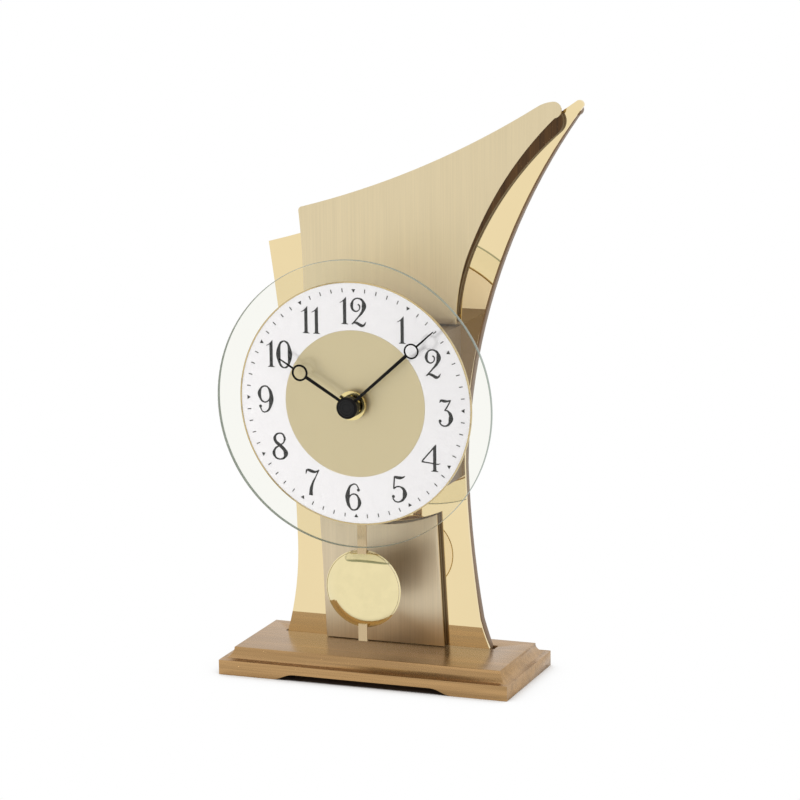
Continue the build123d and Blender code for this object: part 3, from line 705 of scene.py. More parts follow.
def tidy_mesh(mesh: bpy.types.Mesh, sharp: float = math.radians(32)) -> None:
    """Point a closed mesh's faces outwards and smooth it, but for edges sharper than an angle."""
    work = bmesh.new()
    work.from_mesh(mesh)
    bmesh.ops.recalc_face_normals(work, faces=work.faces)
    work.to_mesh(mesh)
    work.free()
    mesh.shade_smooth()
    mesh.set_sharp_from_angle(angle=sharp)


@dataclass(frozen=True)
class Stroke:
    """One pen stroke of a figure: the places its smooth line goes through, and its widths there."""

    places: tuple[Point2, ...]
    widths: tuple[float, ...]
    steps: int = 10
    weight: float = 1.15

    def upended(self, width: float) -> "Stroke":
        """Give the stroke turned upside down in a figure of a given width."""
        places = tuple((width - x, 1.0 - y) for x, y in self.places)
        return Stroke(places, self.widths, self.steps, self.weight)

    def outline(self) -> list[list[Point2]]:
        """Give the stroke as four-cornered pieces."""
        line, widths = self.smooth()
        edges: list[tuple[Point2, Point2]] = []
        for at, (x, y) in enumerate(line):
            before, after = line[max(at - 1, 0)], line[min(at + 1, len(line) - 1)]
            run = math.hypot(after[0] - before[0], after[1] - before[1])
            across = (-(after[1] - before[1]) / run, (after[0] - before[0]) / run)
            half = widths[at] * self.weight / 2
            edges.append(((x + across[0] * half, y + across[1] * half),
                          (x - across[0] * half, y - across[1] * half)))
        return [[first[0], first[1], second[1], second[0]]
                for first, second in zip(edges, edges[1:])]

    def smooth(self) -> tuple[list[Point2], list[float]]:
        """Give close points on the line and the pen's width at each."""
        line: list[Point2] = []
        widths: list[float] = []
        last = len(self.places) - 1
        for at in range(last):
            corners = [self.places[min(max(at + shift, 0), last)] for shift in (-1, 0, 1, 2)]
            for step in range(self.steps + (at == last - 1)):
                share = step / self.steps
                across, up = (catmull(share, *values) for values in zip(*corners))
                line.append((across, up))
                ease = share * share * (3 - 2 * share)
                widths.append(self.widths[at] + (self.widths[at + 1] - self.widths[at]) * ease)
        return line, widths


def catmull(share: float, before: float, start: float, end: float, after: float) -> float:
    """Give a value on the smooth curve through four values, between the middle two."""
    bend = 2 * before - 5 * start + 4 * end - after
    swing = 3 * start - before - 3 * end + after
    return start + share * (end - before + share * (bend + share * swing)) / 2


@dataclass(frozen=True)
class Blot:
    """A filled shape of a figure: a foot, a flag or a round end."""

    corners: tuple[Point2, ...]

    def upended(self, width: float) -> "Blot":
        """Give the shape turned upside down in a figure of a given width."""
        return Blot(tuple((width - x, 1.0 - y) for x, y in self.corners))

    def outline(self) -> list[list[Point2]]:
        """Give the shape as one piece."""
        return [list(self.corners)]


def ball(x: float, y: float, radius: float = 0.058, sides: int = 16) -> Blot:
    """Give the round end of a stroke."""
    turns = [FULL_TURN * side / sides for side in range(sides)]
    return Blot(tuple((x + radius * math.cos(turn), y + radius * math.sin(turn))
                      for turn in turns))


@dataclass(frozen=True)
class Figure:
    """One figure, drawn in parts of its own height, and how wide it is set."""

    parts: tuple[Stroke | Blot, ...]
    width: float


HAIR = 0.044
STEM = 0.15
SIX_WIDTH = 0.61
SIX = (
    Stroke(((0.52, 0.80), (0.44, 0.955), (0.32, 0.985), (0.16, 0.86), (0.075, 0.52), (0.10, 0.24),
            (0.20, 0.06), (0.31, 0.015), (0.46, 0.08), (0.545, 0.30), (0.47, 0.54), (0.33, 0.615),
            (0.19, 0.55), (0.11, 0.40)),
           (0.04, 0.035, HAIR, 0.07, STEM, 0.105, 0.05, HAIR, 0.06, 0.115, 0.06, HAIR, HAIR, HAIR)),
    ball(0.505, 0.775),
)
FIGURES: dict[str, Figure] = {
    "0": Figure((
        Stroke(((0.29, 1.0), (0.13, 0.88), (0.06, 0.5), (0.13, 0.12), (0.29, 0.0), (0.45, 0.12),
                (0.52, 0.5), (0.45, 0.88), (0.29, 1.0)),
               (HAIR, 0.07, STEM, 0.07, HAIR, 0.07, STEM, 0.07, HAIR)),
    ), 0.58),
    "1": Figure((
        Blot(((0.125, 0.03), (0.247, 0.03), (0.247, 1.0), (0.235, 1.0), (0.125, 0.88))),
        Blot(((0.0, 0.80), (0.0, 0.775), (0.07, 0.805), (0.13, 0.84), (0.235, 1.0), (0.15, 0.905),
              (0.07, 0.835))),
        Blot(((0.055, 0.0), (0.317, 0.0), (0.317, 0.018), (0.265, 0.035), (0.247, 0.075),
              (0.125, 0.075), (0.107, 0.035), (0.055, 0.018))),
    ), 0.36),
    "2": Figure((
        Stroke(((0.29, 0.76), (0.36, 0.70), (0.345, 0.57), (0.22, 0.49), (0.09, 0.56), (0.055, 0.72),
                (0.13, 0.91), (0.30, 0.975), (0.47, 0.90), (0.53, 0.70), (0.46, 0.48), (0.28, 0.26),
                (0.07, 0.02)),
               (HAIR, HAIR, 0.034, 0.045, 0.07, 0.095, 0.05, HAIR, 0.075, STEM, 0.085, 0.045, HAIR)),
        Stroke(((0.04, 0.02), (0.14, 0.075), (0.27, 0.055), (0.42, -0.02), (0.52, 0.0),
                (0.60, 0.125)),
               (0.02, 0.055, 0.09, 0.10, 0.06, 0.016)),
    ), 0.62),
    "3": Figure((
        Stroke(((0.09, 0.86), (0.15, 0.945), (0.27, 0.93), (0.40, 0.935), (0.51, 0.985)),
               (0.015, 0.075, 0.095, 0.06, 0.016)),
        Stroke(((0.505, 0.975), (0.42, 0.80), (0.30, 0.605)), (HAIR, HAIR, HAIR)),
        Stroke(((0.27, 0.60), (0.40, 0.57), (0.50, 0.44), (0.515, 0.28), (0.44, 0.09), (0.29, 0.015),
                (0.15, 0.05), (0.075, 0.16)),
               (HAIR, 0.05, 0.105, STEM, 0.075, HAIR, HAIR, 0.04)),
        ball(0.105, 0.19),
    ), 0.58),
    "4": Figure((
        Blot(((0.445, 0.03), (0.565, 0.03), (0.565, 1.0), (0.545, 1.0), (0.445, 0.86))),
        Stroke(((0.55, 0.985), (0.29, 0.68), (0.02, 0.37)), (HAIR, HAIR, HAIR)),
        Stroke(((0.0, 0.345), (0.2, 0.325), (0.45, 0.30), (0.62, 0.285), (0.72, 0.315)),
               (0.045, 0.04, 0.038, 0.036, 0.016)),
        Blot(((0.37, 0.0), (0.64, 0.0), (0.64, 0.018), (0.585, 0.035), (0.565, 0.075), (0.445, 0.075),
              (0.425, 0.035), (0.37, 0.018))),
    ), 0.72),
    "5": Figure((
        Stroke(((0.125, 0.95), (0.22, 0.925), (0.34, 0.915), (0.46, 0.94), (0.55, 1.0)),
               (0.05, 0.09, 0.10, 0.06, 0.014)),
        Stroke(((0.13, 0.95), (0.115, 0.72), (0.10, 0.49)), (HAIR, HAIR, HAIR)),
        Stroke(((0.095, 0.49), (0.20, 0.57), (0.34, 0.585), (0.48, 0.50), (0.53, 0.32), (0.46, 0.12),
                (0.30, 0.015), (0.14, 0.04), (0.055, 0.16)),
               (HAIR, HAIR, 0.04, 0.09, STEM, 0.08, HAIR, HAIR, 0.035)),
        ball(0.085, 0.205),
    ), 0.6),
    "6": Figure(SIX, SIX_WIDTH),
    "7": Figure((
        Stroke(((0.045, 0.79), (0.065, 0.88), (0.075, 0.965)), (0.016, HAIR, HAIR)),
        Stroke(((0.065, 0.90), (0.14, 0.945), (0.25, 0.915), (0.38, 0.885), (0.48, 0.91),
                (0.565, 0.975)),
               (0.02, 0.08, 0.10, 0.085, 0.05, 0.016)),
        Stroke(((0.56, 0.97), (0.44, 0.72), (0.32, 0.48), (0.25, 0.24), (0.235, 0.0)),
               (HAIR, 0.035, 0.065, 0.105, 0.13)),
    ), 0.6),
    "8": Figure((
        Stroke(((0.50, 0.80), (0.42, 0.95), (0.30, 0.985), (0.16, 0.93), (0.095, 0.79), (0.15, 0.65),
                (0.30, 0.53), (0.46, 0.39), (0.53, 0.24), (0.46, 0.075), (0.29, 0.015), (0.13, 0.07),
                (0.055, 0.23), (0.12, 0.41), (0.30, 0.535), (0.44, 0.64), (0.50, 0.80)),
               (0.075, 0.05, HAIR, 0.06, 0.095, 0.10, 0.11, 0.115, STEM, 0.07, HAIR, 0.06, 0.10, 0.06,
                HAIR, 0.04, 0.075)),
    ), 0.6),
    "9": Figure(tuple(part.upended(SIX_WIDTH) for part in SIX), SIX_WIDTH),
}
NUMERAL_PLACES: dict[int, Point2] = {
    1: (27.7 * MM, 42.1 * MM), 2: (45.2 * MM, 25.2 * MM), 3: (51.8 * MM, -1.7 * MM),
    4: (43.6 * MM, -27.0 * MM), 5: (25.0 * MM, -45.4 * MM), 6: (-1.5 * MM, -51.8 * MM),
    7: (-25.4 * MM, -45.1 * MM), 8: (-44.2 * MM, -26.3 * MM), 9: (-52.3 * MM, -0.5 * MM),
    10: (-43.9 * MM, 25.0 * MM), 11: (-24.8 * MM, 44.8 * MM), 12: (-0.3 * MM, 51.0 * MM),
}


@dataclass(frozen=True)
class Numeral:
    """One hour's number: its figures side by side, upright, centred on its place."""

    hour: int
    height: float
    figure_gap: float = 0.05

    def pieces(self, centre: Point2) -> list[list[Point2]]:
        """Give the number's filled pieces on the dial.

        Args:
            centre: The dial's middle, across and up.

        Returns:
            Outlines in metres, across and up.
        """
        figures = [FIGURES[letter] for letter in str(self.hour)]
        total = sum(figure.width for figure in figures) + self.figure_gap * (len(figures) - 1)
        across, up = NUMERAL_PLACES[self.hour]
        left = centre[0] + across - total * self.height / 2
        foot = centre[1] + up - self.height / 2
        placed: list[list[Point2]] = []
        for figure in figures:
            for part in figure.parts:
                placed += [[(left + x * self.height, foot + y * self.height) for x, y in piece]
                           for piece in part.outline()]
            left += (figure.width + self.figure_gap) * self.height
        return placed


def printed(name: str, pieces: list[list[Point2]], back: float, thickness: float) -> bpy.types.Object:
    """Print filled pieces as one thin raised layer.

    Args:
        name: The piece's name.
        pieces: Outlines across and up, which may overlap.
        back: How deep the layer's back lies.
        thickness: How far it stands forward.

    Returns:
        The printed layer, a closed mesh.
    """
    points = [Vector(point) for piece in pieces for point in piece]
    loops: list[list[int]] = []
    for piece in pieces:
        start = sum(len(loop) for loop in loops)
        loops.append(list(range(start, start + len(piece))))
    inside_only, tolerance, with_sources = 1, 1e-7, True
    flat, _, faces, _, _, sources = delaunay_2d_cdt(points, [], loops, inside_only, tolerance,
                                                    with_sources)
    inked = [face for face, source in zip(faces, sources) if source]
    used = sorted({at for face in inked for at in face})
    count, order = len(used), {at: place for place, at in enumerate(used)}
    corners = [(flat[at].x, depth, flat[at].y) for depth in (back - thickness, back) for at in used]
    fronts = [[order[at] for at in face] for face in inked]
    backs = [[at + count for at in reversed(face)] for face in fronts]
    edges = [edge for face in fronts for edge in zip(face, face[1:] + face[:1])]
    known = set(edges)
    walls = [[start, start + count, end + count, end]
             for start, end in edges if (end, start) not in known]
    mesh = bpy.data.meshes.new(name)
    mesh.from_pydata(corners, [], fronts + backs + walls)
    return in_scene(name, mesh)


def middle(node: str) -> Vector:
    """Give the middle of a CAD node's box."""
    low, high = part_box(node)
    return (low + high) / 2


def radius_of(node: str) -> float:
    """Give the outer radius of a round CAD node that faces the front."""
    low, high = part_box(node)
    return (high.x - low.x) / 2


def finishes() -> dict[Slot, Finish]:
    """Give the finish of each slot.

    Returns:
        One finish for each slot of the record, and for the three that belong to another's.
    """
    dial = tuple(middle("dial_plate"))
    bob = tuple(middle("bob_shell"))
    # unglowing_width: the bob's back stays unlit this far right of its middle, and a painted glow
    # starts beyond it.
    ground_edge, unglowing_width = 0.3 * MM, 13 * MM
    glass_edge = radius_of("glass_disc") - ground_edge
    glow_from = bob[0] + unglowing_width
    return {
        Slot.BASE_GOLD: Lacquered("base_gold", (172, 137, 93), 0.27, 0.85, grit_size=0.4 * MM,
                                  grain_contrast=0.2),
        Slot.FELT: Finish("felt", (42, 34, 28), 0.95, mottle=0.2, grit=0.1 * MM),
        Slot.SCREW_STEEL: Finish("screw_steel", (172, 170, 165), 0.3, 1.0),
        Slot.PANEL_EDGE: Lacquered("panel_edge", (128, 103, 78), 0.45, 0.25, along=Axis.Z),
        Slot.GOLD_MIRROR: Finish("gold_mirror", (236, 216, 170), 0.02, 1.0, mottle=0.01,
                                 mottle_size=40 * MM),
        Slot.DARK_BOARD: Lacquered("dark_board", (74, 50, 22), 0.38, 0.6, along=Axis.Z,
                                   grain_contrast=0.4),
        Slot.BRUSHED_GOLD: Brushed("brushed_gold", (222, 206, 170), 0.4, 1.0,
                                   streak_contrast=0.16, streak_width=0.7 * MM,
                                   streak_length=70 * MM, band_contrast=0.08),
        Slot.HOUSING: Finish("housing", (118, 97, 75), 0.42, 0.3, grit=0.01 * MM),
        # Painted light: the dial plate glows behind its middle depth, standing in for light from its
        # front that shows through the white plate.
        Slot.DIAL_WHITE: BackLit("dial_white", (223, 221, 232), 0.3, 0.0, mottle=0.006,
                                 back_place=dial[1]),
        Slot.DIAL_GOLD: Brushed("dial_gold", (224, 209, 174), 0.45, 1.0, streak_contrast=0.08,
                                streak_depth=0.0),
        Slot.RIM_GOLD: Turned("rim_gold", (208, 188, 144), 0.22, 1.0, centre=dial),
        Slot.CLEAR_GLASS: ClearGlass("clear_glass", (252, 252, 249), 0.01, centre=dial,
                                     edge_radius=glass_edge),
        Slot.POLISHED_BRASS: Turned("polished_brass", (232, 214, 152), 0.16, 1.0, centre=dial),
        Slot.SEAL_RUBBER: Finish("seal_rubber", (32, 32, 33), 0.75, grit=0.02 * MM),
        Slot.CASE_PLASTIC: Finish("case_plastic", (38, 38, 40), 0.42, grit=0.015 * MM),
        Slot.BOARD_GREEN: Finish("board_green", (40, 92, 58), 0.4, mottle=0.1),
        Slot.COPPER_WIRE: Turned("copper_wire", (176, 100, 60), 0.35, 1.0, axle=Axis.Z),
        Slot.IRON_SHEET: Finish("iron_sheet", (120, 120, 122), 0.4, 1.0),
        Slot.CONTACT_METAL: Finish("contact_metal", (196, 194, 186), 0.25, 1.0),
        Slot.TURNED_BRASS: Turned("turned_brass", (206, 176, 112), 0.26, 1.0, centre=dial),
        Slot.HAND_BLACK: Finish("hand_black", (10, 8, 7), 0.35, specular=0.12),
        Slot.GEAR_PLASTIC: Finish("gear_plastic", (226, 222, 208), 0.45),
        Slot.KNOB_PLASTIC: Finish("knob_plastic", (44, 44, 46), 0.4, grit=0.01 * MM),
        Slot.MAGNET_METAL: Finish("magnet_metal", (150, 150, 152), 0.25, 1.0),
        Slot.BATTERY_CAN: Turned("battery_can", (52, 56, 62), 0.3, 0.4, axle=Axis.Z),
        Slot.ROD_GOLD: Brushed("rod_gold", (199, 176, 139), 0.28, 1.0),
        Slot.POLISHED_GOLD: Turned("polished_gold", (233, 219, 172), 0.08, 1.0, centre=bob),
        Slot.WEIGHT_IRON: Finish("weight_iron", (96, 96, 98), 0.45, 1.0),
        # Painted light and shade: the bob's back is dark gold and glows right of glow_from. In the
        # lower sheet's reflection this paints a soft shade beside the bob and a brighter band beyond
        # it, and it keeps the bob faint in the mirror.
        Slot.BOB_BACK_PLATE: BackLit("bob_back_plate", (150, 126, 78), 0.35, 1.0, back_light=0.85,
                                     back_place=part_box("bob_back")[0].y, side_place=glow_from),
        Slot.FIGURE_INK: Finish("figure_ink", (18, 18, 20), 0.5, specular=0.1),
        Slot.LOWER_GOLD: Brushed("lower_gold", (211, 195, 166), 0.36, 1.0,
                                 streak_contrast=0.2, streak_width=0.7 * MM,
                                 streak_length=70 * MM, band_contrast=0.16, band_width=9 * MM),
        Slot.CAP_BLACK: Turned("cap_black", (10, 9, 9), 0.18, 0.0, centre=dial,
                               ring_depth=0.006 * MM, specular=0.25),
    }


@dataclass
class Workshop:
    """Holds the built materials and dresses the CAD nodes."""

    lathe: Lathe
    materials: dict[Slot, bpy.types.Material] = field(default_factory=dict)

    def mix_finishes(self) -> None:
        """Build every finish once."""
        for slot, finish in finishes().items():
            self.materials[slot] = finish.build()
            log.info("mixed %s", slot.value)

    def dress(self, node: str, slot: Slot) -> None:
        """Give a CAD node its material."""
        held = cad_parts[node].data.materials
        held.clear()
        held.append(self.materials[slot])
        log.info("dressed %s in %s", node, slot.value)

    def add(self, piece: bpy.types.Object, body: str, slot: Slot) -> None:
        """Give a new piece its material, and let it ride on a body."""
        piece.data.materials.clear()
        piece.data.materials.append(self.materials[slot])
        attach(piece, body)
        log.info("added %s on %s", piece.name, body)


@dataclass(frozen=True)
class Easing:
    """A CAD node whose sharp edges are eased, with its finish and the width of the easing."""

    node: str
    slot: Slot
    width: float
    sharp: float = math.radians(30)
    flat: float = math.radians(0.5)
    steps: int = 2

    def build(self) -> bpy.types.Object:
        """Ease a merged copy of the node's mesh.

        Returns:
            The eased piece, which stands for the node.
        """
        work = bmesh.new()
        work.from_mesh(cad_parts[self.node].data)
        bmesh.ops.remove_doubles(work, verts=work.verts, dist=MERGE)
        bmesh.ops.dissolve_limit(work, angle_limit=self.flat, verts=work.verts,
                                 edges=work.edges)
        bmesh.ops.recalc_face_normals(work, faces=work.faces)
        edges = [edge for edge in work.edges
                 if edge.is_manifold and edge.calc_face_angle() > self.sharp]
        cut = set(edges)
        for face in work.faces:
            face.smooth = not cut.issuperset(face.edges)
        eased = bmesh.ops.bevel(work, geom=edges, offset=self.width, segments=self.steps,
                                profile=0.5, affect="EDGES", clamp_overlap=True)
        for face in eased["faces"]:
            face.smooth = True
        mesh = bpy.data.meshes.new(self.node + "_eased")
        work.to_mesh(mesh)
        work.free()
        mesh.set_sharp_from_angle(angle=self.sharp)
        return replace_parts(in_scene(self.node + "_eased", mesh), self.node)


@dataclass
class Assembly:
    """A group of pieces that is dressed together."""

    shop: Workshop

    def nodes(self) -> dict[str, Slot]:
        """Name the CAD nodes that keep their shape, with their finishes."""
        return {}

    def easings(self) -> tuple[Easing, ...]:
        """Name the CAD nodes whose edges are eased."""
        return ()

    def build(self) -> None:
        """Dress the nodes and ease those that need it."""
        for node, slot in self.nodes().items():
            self.shop.dress(node, slot)
        for easing in self.easings():
            self.shop.add(easing.build(), "stand", easing.slot)


@dataclass
class Stand(Assembly):
    """Plinth, upright panel and mirror, and the facing boards with their sheets."""

    plinth_ease: float = 0.5 * MM
    panel_ease: float = 0.35 * MM
    board_ease: float = 0.4 * MM
    sheet_ease: float = 0.15 * MM

    def nodes(self) -> dict[str, Slot]:
        """Name the stand's nodes."""
        return {
            "base_felt": Slot.FELT,
            "base_screws": Slot.SCREW_STEEL,
            "panel_screws": Slot.SCREW_STEEL,
            "back_mirror": Slot.GOLD_MIRROR,
        }

    def easings(self) -> tuple[Easing, ...]:
        """Name the plinth, the panels and their sheets."""
        return (
            Easing("base_plinth", Slot.BASE_GOLD, self.plinth_ease),
            Easing("back_board", Slot.PANEL_EDGE, self.panel_ease),
            Easing("upper_board", Slot.DARK_BOARD, self.board_ease),
            Easing("upper_sheet", Slot.BRUSHED_GOLD, self.sheet_ease),
            Easing("lower_board", Slot.DARK_BOARD, self.board_ease),
            Easing("lower_sheet", Slot.LOWER_GOLD, self.sheet_ease),
        )


@dataclass
class Dial(Assembly):
    """Housing, dial plate and glass, with their clamp, and what is printed on the dial."""

    figure_height: float = 14.9 * MM
    ink_thickness: float = 0.12 * MM
    ink_depth: float = 0.01 * MM
    track_radius: float = 62.3 * MM
    dash_length: float = 2.1 * MM
    dash_width: float = 0.5 * MM
    wedge_length: float = 2.6 * MM
    hole_share: float = 0.6
    air_gap: float = 0.05 * MM
    disc_ease: float = 0.15 * MM
    edge_bulge: float = 0.8 * MM
    edge_rows: int = 8
    glass_steps: int = 240

    def build(self) -> None:
        """Dress the nodes, print the dial and turn its centre and glass."""
        super().build()
        self.print_figures()
        self.print_track()
        self.turn_centre()
        self.turn_glass()

    def centre(self) -> Point2:
        """Give the dial's middle, across and up."""
        place = middle("dial_plate")
        return (place.x, place.z)

    def hole_radius(self) -> float:
        """Give the radius of the holes in the turned discs, which lie inside the clamp's bush."""
        return radius_of("centre_bush") * self.hole_share

    def print_figures(self) -> None:
        """Print the twelve numbers."""
        pieces: list[list[Point2]] = []
        for hour in range(1, HOURS + 1):
            pieces += Numeral(hour, self.figure_height).pieces(self.centre())
        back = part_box("dial_plate")[0].y + self.ink_depth
        figures = printed("dial_figures", pieces, back, self.ink_thickness + self.ink_depth)
        self.shop.add(figures, "stand", Slot.FIGURE_INK)

    def print_track(self) -> None:
        """Print the minute dashes and the wedges at every fifth minute."""
        recipe = RingOfMarks()
        across, up = self.centre()
        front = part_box("dial_plate")[0].y + self.ink_depth - self.ink_thickness / 2
        for name, fifths, length in (("minute_dashes", 0.0, self.dash_length),
                                     ("minute_wedges", 1.0, self.wedge_length)):
            marks = recipe.make(name, bpy.data.meshes.new(name + "_start"), {
                "Count": MINUTES, "Radius": self.track_radius, "Only fifths": fifths,
                "Length": length, "Width": self.dash_width, "Thickness": self.ink_thickness,
                "Centre": (across, front, up),
                "Material": self.shop.materials[Slot.FIGURE_INK]})
            self.shop.add(marks, "stand", Slot.FIGURE_INK)

    def turn_centre(self) -> None:
        """Turn the gold centre disc round the clamp's bush."""
        low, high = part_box("dial_centre")
        outer, hole, ease = radius_of("dial_centre"), self.hole_radius(), self.disc_ease
        front = low.y + self.air_gap
        profile = [(hole, high.y), (outer, high.y), (outer, front + ease), (outer - ease, front),
                   (hole, front)]
        disc = self.shop.lathe.turn("dial_centre_disc", profile, self.centre(),
                                    self.shop.materials[Slot.DIAL_GOLD])
        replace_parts(disc, "dial_centre")
        self.shop.add(disc, "stand", Slot.DIAL_GOLD)

    def turn_glass(self) -> None:
        """Turn the glass disc with its ground, rounded edge."""
        low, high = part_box("glass_disc")
        outer, hole = radius_of("glass_disc"), self.hole_radius()
        half, depth = (high.y - low.y) / 2, (low.y + high.y) / 2
        turns = [math.pi * at / self.edge_rows for at in range(self.edge_rows + 1)]
        rim = [(outer - self.edge_bulge * (1 - math.sin(turn)), depth + half * math.cos(turn))
               for turn in turns]
        profile = [(hole, high.y)] + rim + [(hole, low.y)]
        disc = self.shop.lathe.turn("glass_pane", profile, self.centre(),
                                    self.shop.materials[Slot.CLEAR_GLASS], self.glass_steps)
        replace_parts(disc, "glass_disc")
        self.shop.add(disc, "stand", Slot.CLEAR_GLASS)

    def nodes(self) -> dict[str, Slot]:
        """Name the dial's nodes."""
        return {
            "movement_housing": Slot.HOUSING,
            "dial_plate": Slot.DIAL_WHITE,
            "dial_rim": Slot.RIM_GOLD,
            "glass_washer": Slot.POLISHED_BRASS,
            "centre_nut": Slot.POLISHED_BRASS,
            "centre_bush": Slot.TURNED_BRASS,
            "movement_seal": Slot.SEAL_RUBBER,
        }


@dataclass
class Hands(Assembly):
    """Hour and minute hand with their cap."""

    cap_step: float = 0.86
    cap_ease: float = 0.3 * MM
    groove_place: float = 0.62
    groove_width: float = 0.5 * MM
    groove_depth: float = 0.2 * MM
    pole_ratio: float = 500.0
    cap_steps: int = 96

    def build(self) -> None:
        """Dress the hands and turn their cap."""
        super().build()
        self.turn_cap()

    def turn_cap(self) -> None:
        """Turn the cap: a step at half its depth and a groove in its face."""
        low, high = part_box("hand_cap")
        place, outer = middle("hand_cap"), radius_of("hand_cap")
        pole, inner = outer / self.pole_ratio, outer * self.cap_step
        groove = inner * self.groove_place
        profile = [
            (pole, high.y), (outer, high.y), (outer, place.y), (inner, place.y - self.cap_ease),
            (inner, low.y + self.cap_ease), (inner - self.cap_ease, low.y), (groove, low.y),
            (groove - self.groove_width / 2, low.y + self.groove_depth),
            (groove - self.groove_width, low.y), (pole, low.y),
        ]
        cap = self.shop.lathe.turn("cap_turned", profile, (place.x, place.z),
                                   self.shop.materials[Slot.CAP_BLACK], self.cap_steps)
        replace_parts(cap, "hand_cap")
        self.shop.add(cap, "minute_group", Slot.CAP_BLACK)

    def nodes(self) -> dict[str, Slot]:
        """Name the nodes of the hands."""
        return {
            "hour_hand": Slot.HAND_BLACK,
            "minute_hand": Slot.HAND_BLACK,
        }


@dataclass
class Movement(Assembly):
    """The quartz movement with its train, coils, contacts and battery."""

    def nodes(self) -> dict[str, Slot]:
        """Name the movement's nodes."""
        return {
            "movement_case": Slot.CASE_PLASTIC,
            "case_cover": Slot.CASE_PLASTIC,
            "case_screws": Slot.SCREW_STEEL,
            "train_bridge": Slot.GEAR_PLASTIC,
            "bridge_screws": Slot.SCREW_STEEL,
            "circuit_board": Slot.BOARD_GREEN,
            "motor_coil": Slot.COPPER_WIRE,
            "motor_stator": Slot.IRON_SHEET,
            "pendulum_coil": Slot.COPPER_WIRE,
            "contact_positive": Slot.CONTACT_METAL,
            "contact_negative": Slot.CONTACT_METAL,
            "minute_arbor": Slot.TURNED_BRASS,
            "hour_wheel": Slot.GEAR_PLASTIC,
            "minute_wheel": Slot.GEAR_PLASTIC,
            "centre_wheel": Slot.GEAR_PLASTIC,
            "third_wheel": Slot.GEAR_PLASTIC,
            "second_wheel": Slot.GEAR_PLASTIC,
            "rotor_pinion": Slot.GEAR_PLASTIC,
            "rotor_magnet": Slot.MAGNET_METAL,
            "setting_arbor": Slot.GEAR_PLASTIC,
            "setting_knob": Slot.KNOB_PLASTIC,
            "battery": Slot.BATTERY_CAN,
        }


@dataclass
class Pendulum(Assembly):
    """Pivot, hanger, rod and bob."""

    dome_power: float = 2.3
    dome_rows: int = 40
    pole_row: float = 0.01
    bob_steps: int = 160
    shell_wall: float = 0.5 * MM

    def build(self) -> None:
        """Dress the nodes and turn the bob's shell."""
        super().build()
        self.turn_bob()

    def turn_bob(self) -> None:
        """Turn the bob's polished shell: nearly flat in the middle and steeper towards its rim."""
        low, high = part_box("bob_shell")
        outer, drop = radius_of("bob_shell"), high.y - low.y
        place = middle("bob_shell")
        shares = [(at + self.pole_row) / (self.dome_rows + self.pole_row)
                  for at in range(self.dome_rows + 1)]
        front = [(outer * share, low.y + drop * share ** self.dome_power) for share in shares]
        inside = [(radius - self.shell_wall * share, depth + self.shell_wall)
                  for (radius, depth), share in zip(front[:-2], shares)]
        profile = front + [(outer - self.shell_wall, high.y)] + inside[::-1]
        shell = self.shop.lathe.turn("bob_dome", profile, (place.x, place.z),
                                     self.shop.materials[Slot.POLISHED_GOLD], self.bob_steps)
        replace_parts(shell, "bob_shell")
        self.shop.add(shell, "pendulum", Slot.POLISHED_GOLD)

    def nodes(self) -> dict[str, Slot]:
        """Name the pendulum's nodes."""
        return {
            "pivot_pin": Slot.SCREW_STEEL,
            "pendulum_hanger": Slot.CASE_PLASTIC,
            "hanger_magnet": Slot.MAGNET_METAL,
            "pendulum_rod": Slot.ROD_GOLD,
            "bob_weight": Slot.WEIGHT_IRON,
            "bob_back": Slot.BOB_BACK_PLATE,
        }


@dataclass(frozen=True)
class Viewpoint:
    """Where the camera stands, how it is turned, and its lens."""

    place: Point3 = (0.67012, -1.75131, 0.53676)
    yaw: float = math.radians(20.64)
    pitch: float = math.radians(11.53)
    roll: float = math.radians(-0.59)
    focal_length: float = 155.95
    sensor_width: float = 36.0
    far_limit: float = 50.0

    def build(self) -> None:
        """Set up the camera and make it the scene's."""
        back = Vector((math.sin(self.yaw) * math.cos(self.pitch),
                       -math.cos(self.yaw) * math.cos(self.pitch), math.sin(self.pitch)))
        right = Vector((0, 0, 1)).cross(back).normalized()
        up = back.cross(right)
        turn, lean = math.cos(self.roll), math.sin(self.roll)
        axes = (right * turn + up * lean, up * turn - right * lean, back)
        stance = Matrix(axes).transposed().to_4x4()
        stance.translation = Vector(self.place)
        lens = bpy.data.cameras.new("camera")
        lens.lens = self.focal_length
        lens.sensor_width = self.sensor_width
        lens.clip_end = self.far_limit
        camera = in_scene("camera", lens)
        camera.matrix_world = stance
        bpy.context.scene.camera = camera


@dataclass(frozen=True)
class Lamp:
    """A soft rectangular lamp."""

    name: str
    place: Point3
    size: Point2
    power: float
    aim: Point3 = (0.0, 0.0, 0.15)

    def build(self) -> None:
        """Hang the lamp and aim it."""
        light = bpy.data.lights.new(self.name, "AREA")
        light.shape = "RECTANGLE"
        light.size, light.size_y = self.size
        light.energy = self.power
        lamp = in_scene(self.name, light)
        lamp.location = self.place
        away = Vector(self.place) - Vector(self.aim)
        lamp.rotation_euler = away.to_track_quat("Z", "Y").to_euler()
        lamp.visible_glossy = False
        lamp.visible_camera = False


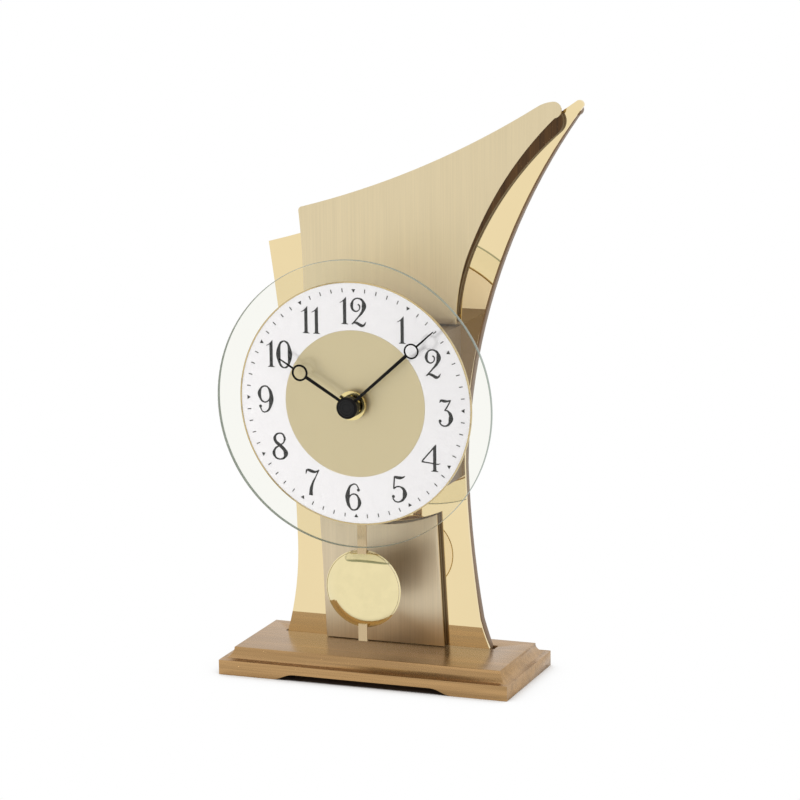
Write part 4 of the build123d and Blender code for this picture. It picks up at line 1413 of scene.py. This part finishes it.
@dataclass(frozen=True)
class Studio:
    """Pale floor, soft lamps and a white background, with painted shade on the floor under the
    plinth.
    """

    floor_half: float = 6.0
    floor_colour: Colour = (238, 238, 238)
    gap_colour: Colour = (58, 44, 34)
    shadow_reach: float = 0.03
    gap_range: tuple[float, float] = (0.3, 0.5)
    shadow_range: tuple[float, float] = (0.35, 0.95)
    shadow_samples: int = 12
    floor_roughness: float = 0.9
    world_level: float = 0.9
    lamps: tuple[Lamp, ...] = (
        Lamp("front_lamp", (-0.3, -0.62, 0.02), (0.1, 0.03), 2.6),
        Lamp("top_lamp", (0.2, -0.4, 2.2), (1.6, 1.2), 3.0),
        Lamp("right_lamp", (1.9, -0.9, 0.9), (0.8, 1.2), 4.0),
    )

    @staticmethod
    def seen(sheet: NodeSheet) -> Signal:
        """Give 1 for rays that show the background: to the camera, in gloss and through glass."""
        path = sheet.node("ShaderNodeLightPath")
        rays = [Signal(sheet, path.outputs[name])
                for name in ("Is Camera Ray", "Is Glossy Ray", "Is Transmission Ray")]
        return rays[0].largest(rays[1]).largest(rays[2])

    def light_world(self) -> None:
        """Light the world plainly, and make it white where it is seen."""
        world = bpy.data.worlds.new("studio")
        world.use_nodes = True
        bpy.context.scene.world = world
        sheet = NodeSheet(world.node_tree)
        background = sheet.tree.nodes["Background"]
        sheet.feed(background.inputs["Color"], WHITE)
        level = self.seen(sheet) * (1 - self.world_level) + self.world_level
        sheet.feed(background.inputs["Strength"], level)

    def lay_floor(self) -> None:
        """Lay the floor, pale and nearly white where it is seen, with painted dark brown shade where
        the pieces close over it.
        """
        half = self.floor_half
        mesh = bpy.data.meshes.new("floor")
        corners = [(-half, -half, 0), (half, -half, 0), (half, half, 0), (-half, half, 0)]
        mesh.from_pydata(corners, [], [(0, 1, 2, 3)])
        floor = in_scene("floor", mesh)
        paint = Paint("floor")
        glow = paint.node("ShaderNodeEmission", None, {"Color": WHITE, "Strength": 1.0})
        open_sky = paint.number("ShaderNodeAmbientOcclusion", {"samples": self.shadow_samples},
                                {"Distance": self.shadow_reach}, "AO")
        # Painted shade: where little sky is open, as under the plinth's arch, the floor's colour
        # turns dark brown.
        tone = paint.blend(open_sky.ramp(*self.gap_range), linear(self.gap_colour),
                           linear(self.floor_colour))
        paint.set({"Base Color": tone, "Roughness": self.floor_roughness})
        share = self.seen(paint) * open_sky.ramp(*self.shadow_range)
        paint.shown_by(paint.mixed(share, paint.shader, glow))
        mesh.materials.append(paint.material)

    def build(self) -> None:
        """Set the view transform, and build the world, the floor and the lamps."""
        bpy.context.scene.view_settings.view_transform = "Standard"
        self.light_world()
        self.lay_floor()
        for lamp in self.lamps:
            lamp.build()


def main() -> None:
    """Build the studio, the camera and every sub-assembly."""
    logging.basicConfig(level=logging.INFO, format="%(message)s")
    Studio().build()
    Viewpoint().build()
    shop = Workshop(Lathe())
    shop.mix_finishes()
    for assembly in (Stand(shop), Dial(shop), Hands(shop), Movement(shop), Pendulum(shop)):
        assembly.build()


if __name__ == "__main__":
    main()
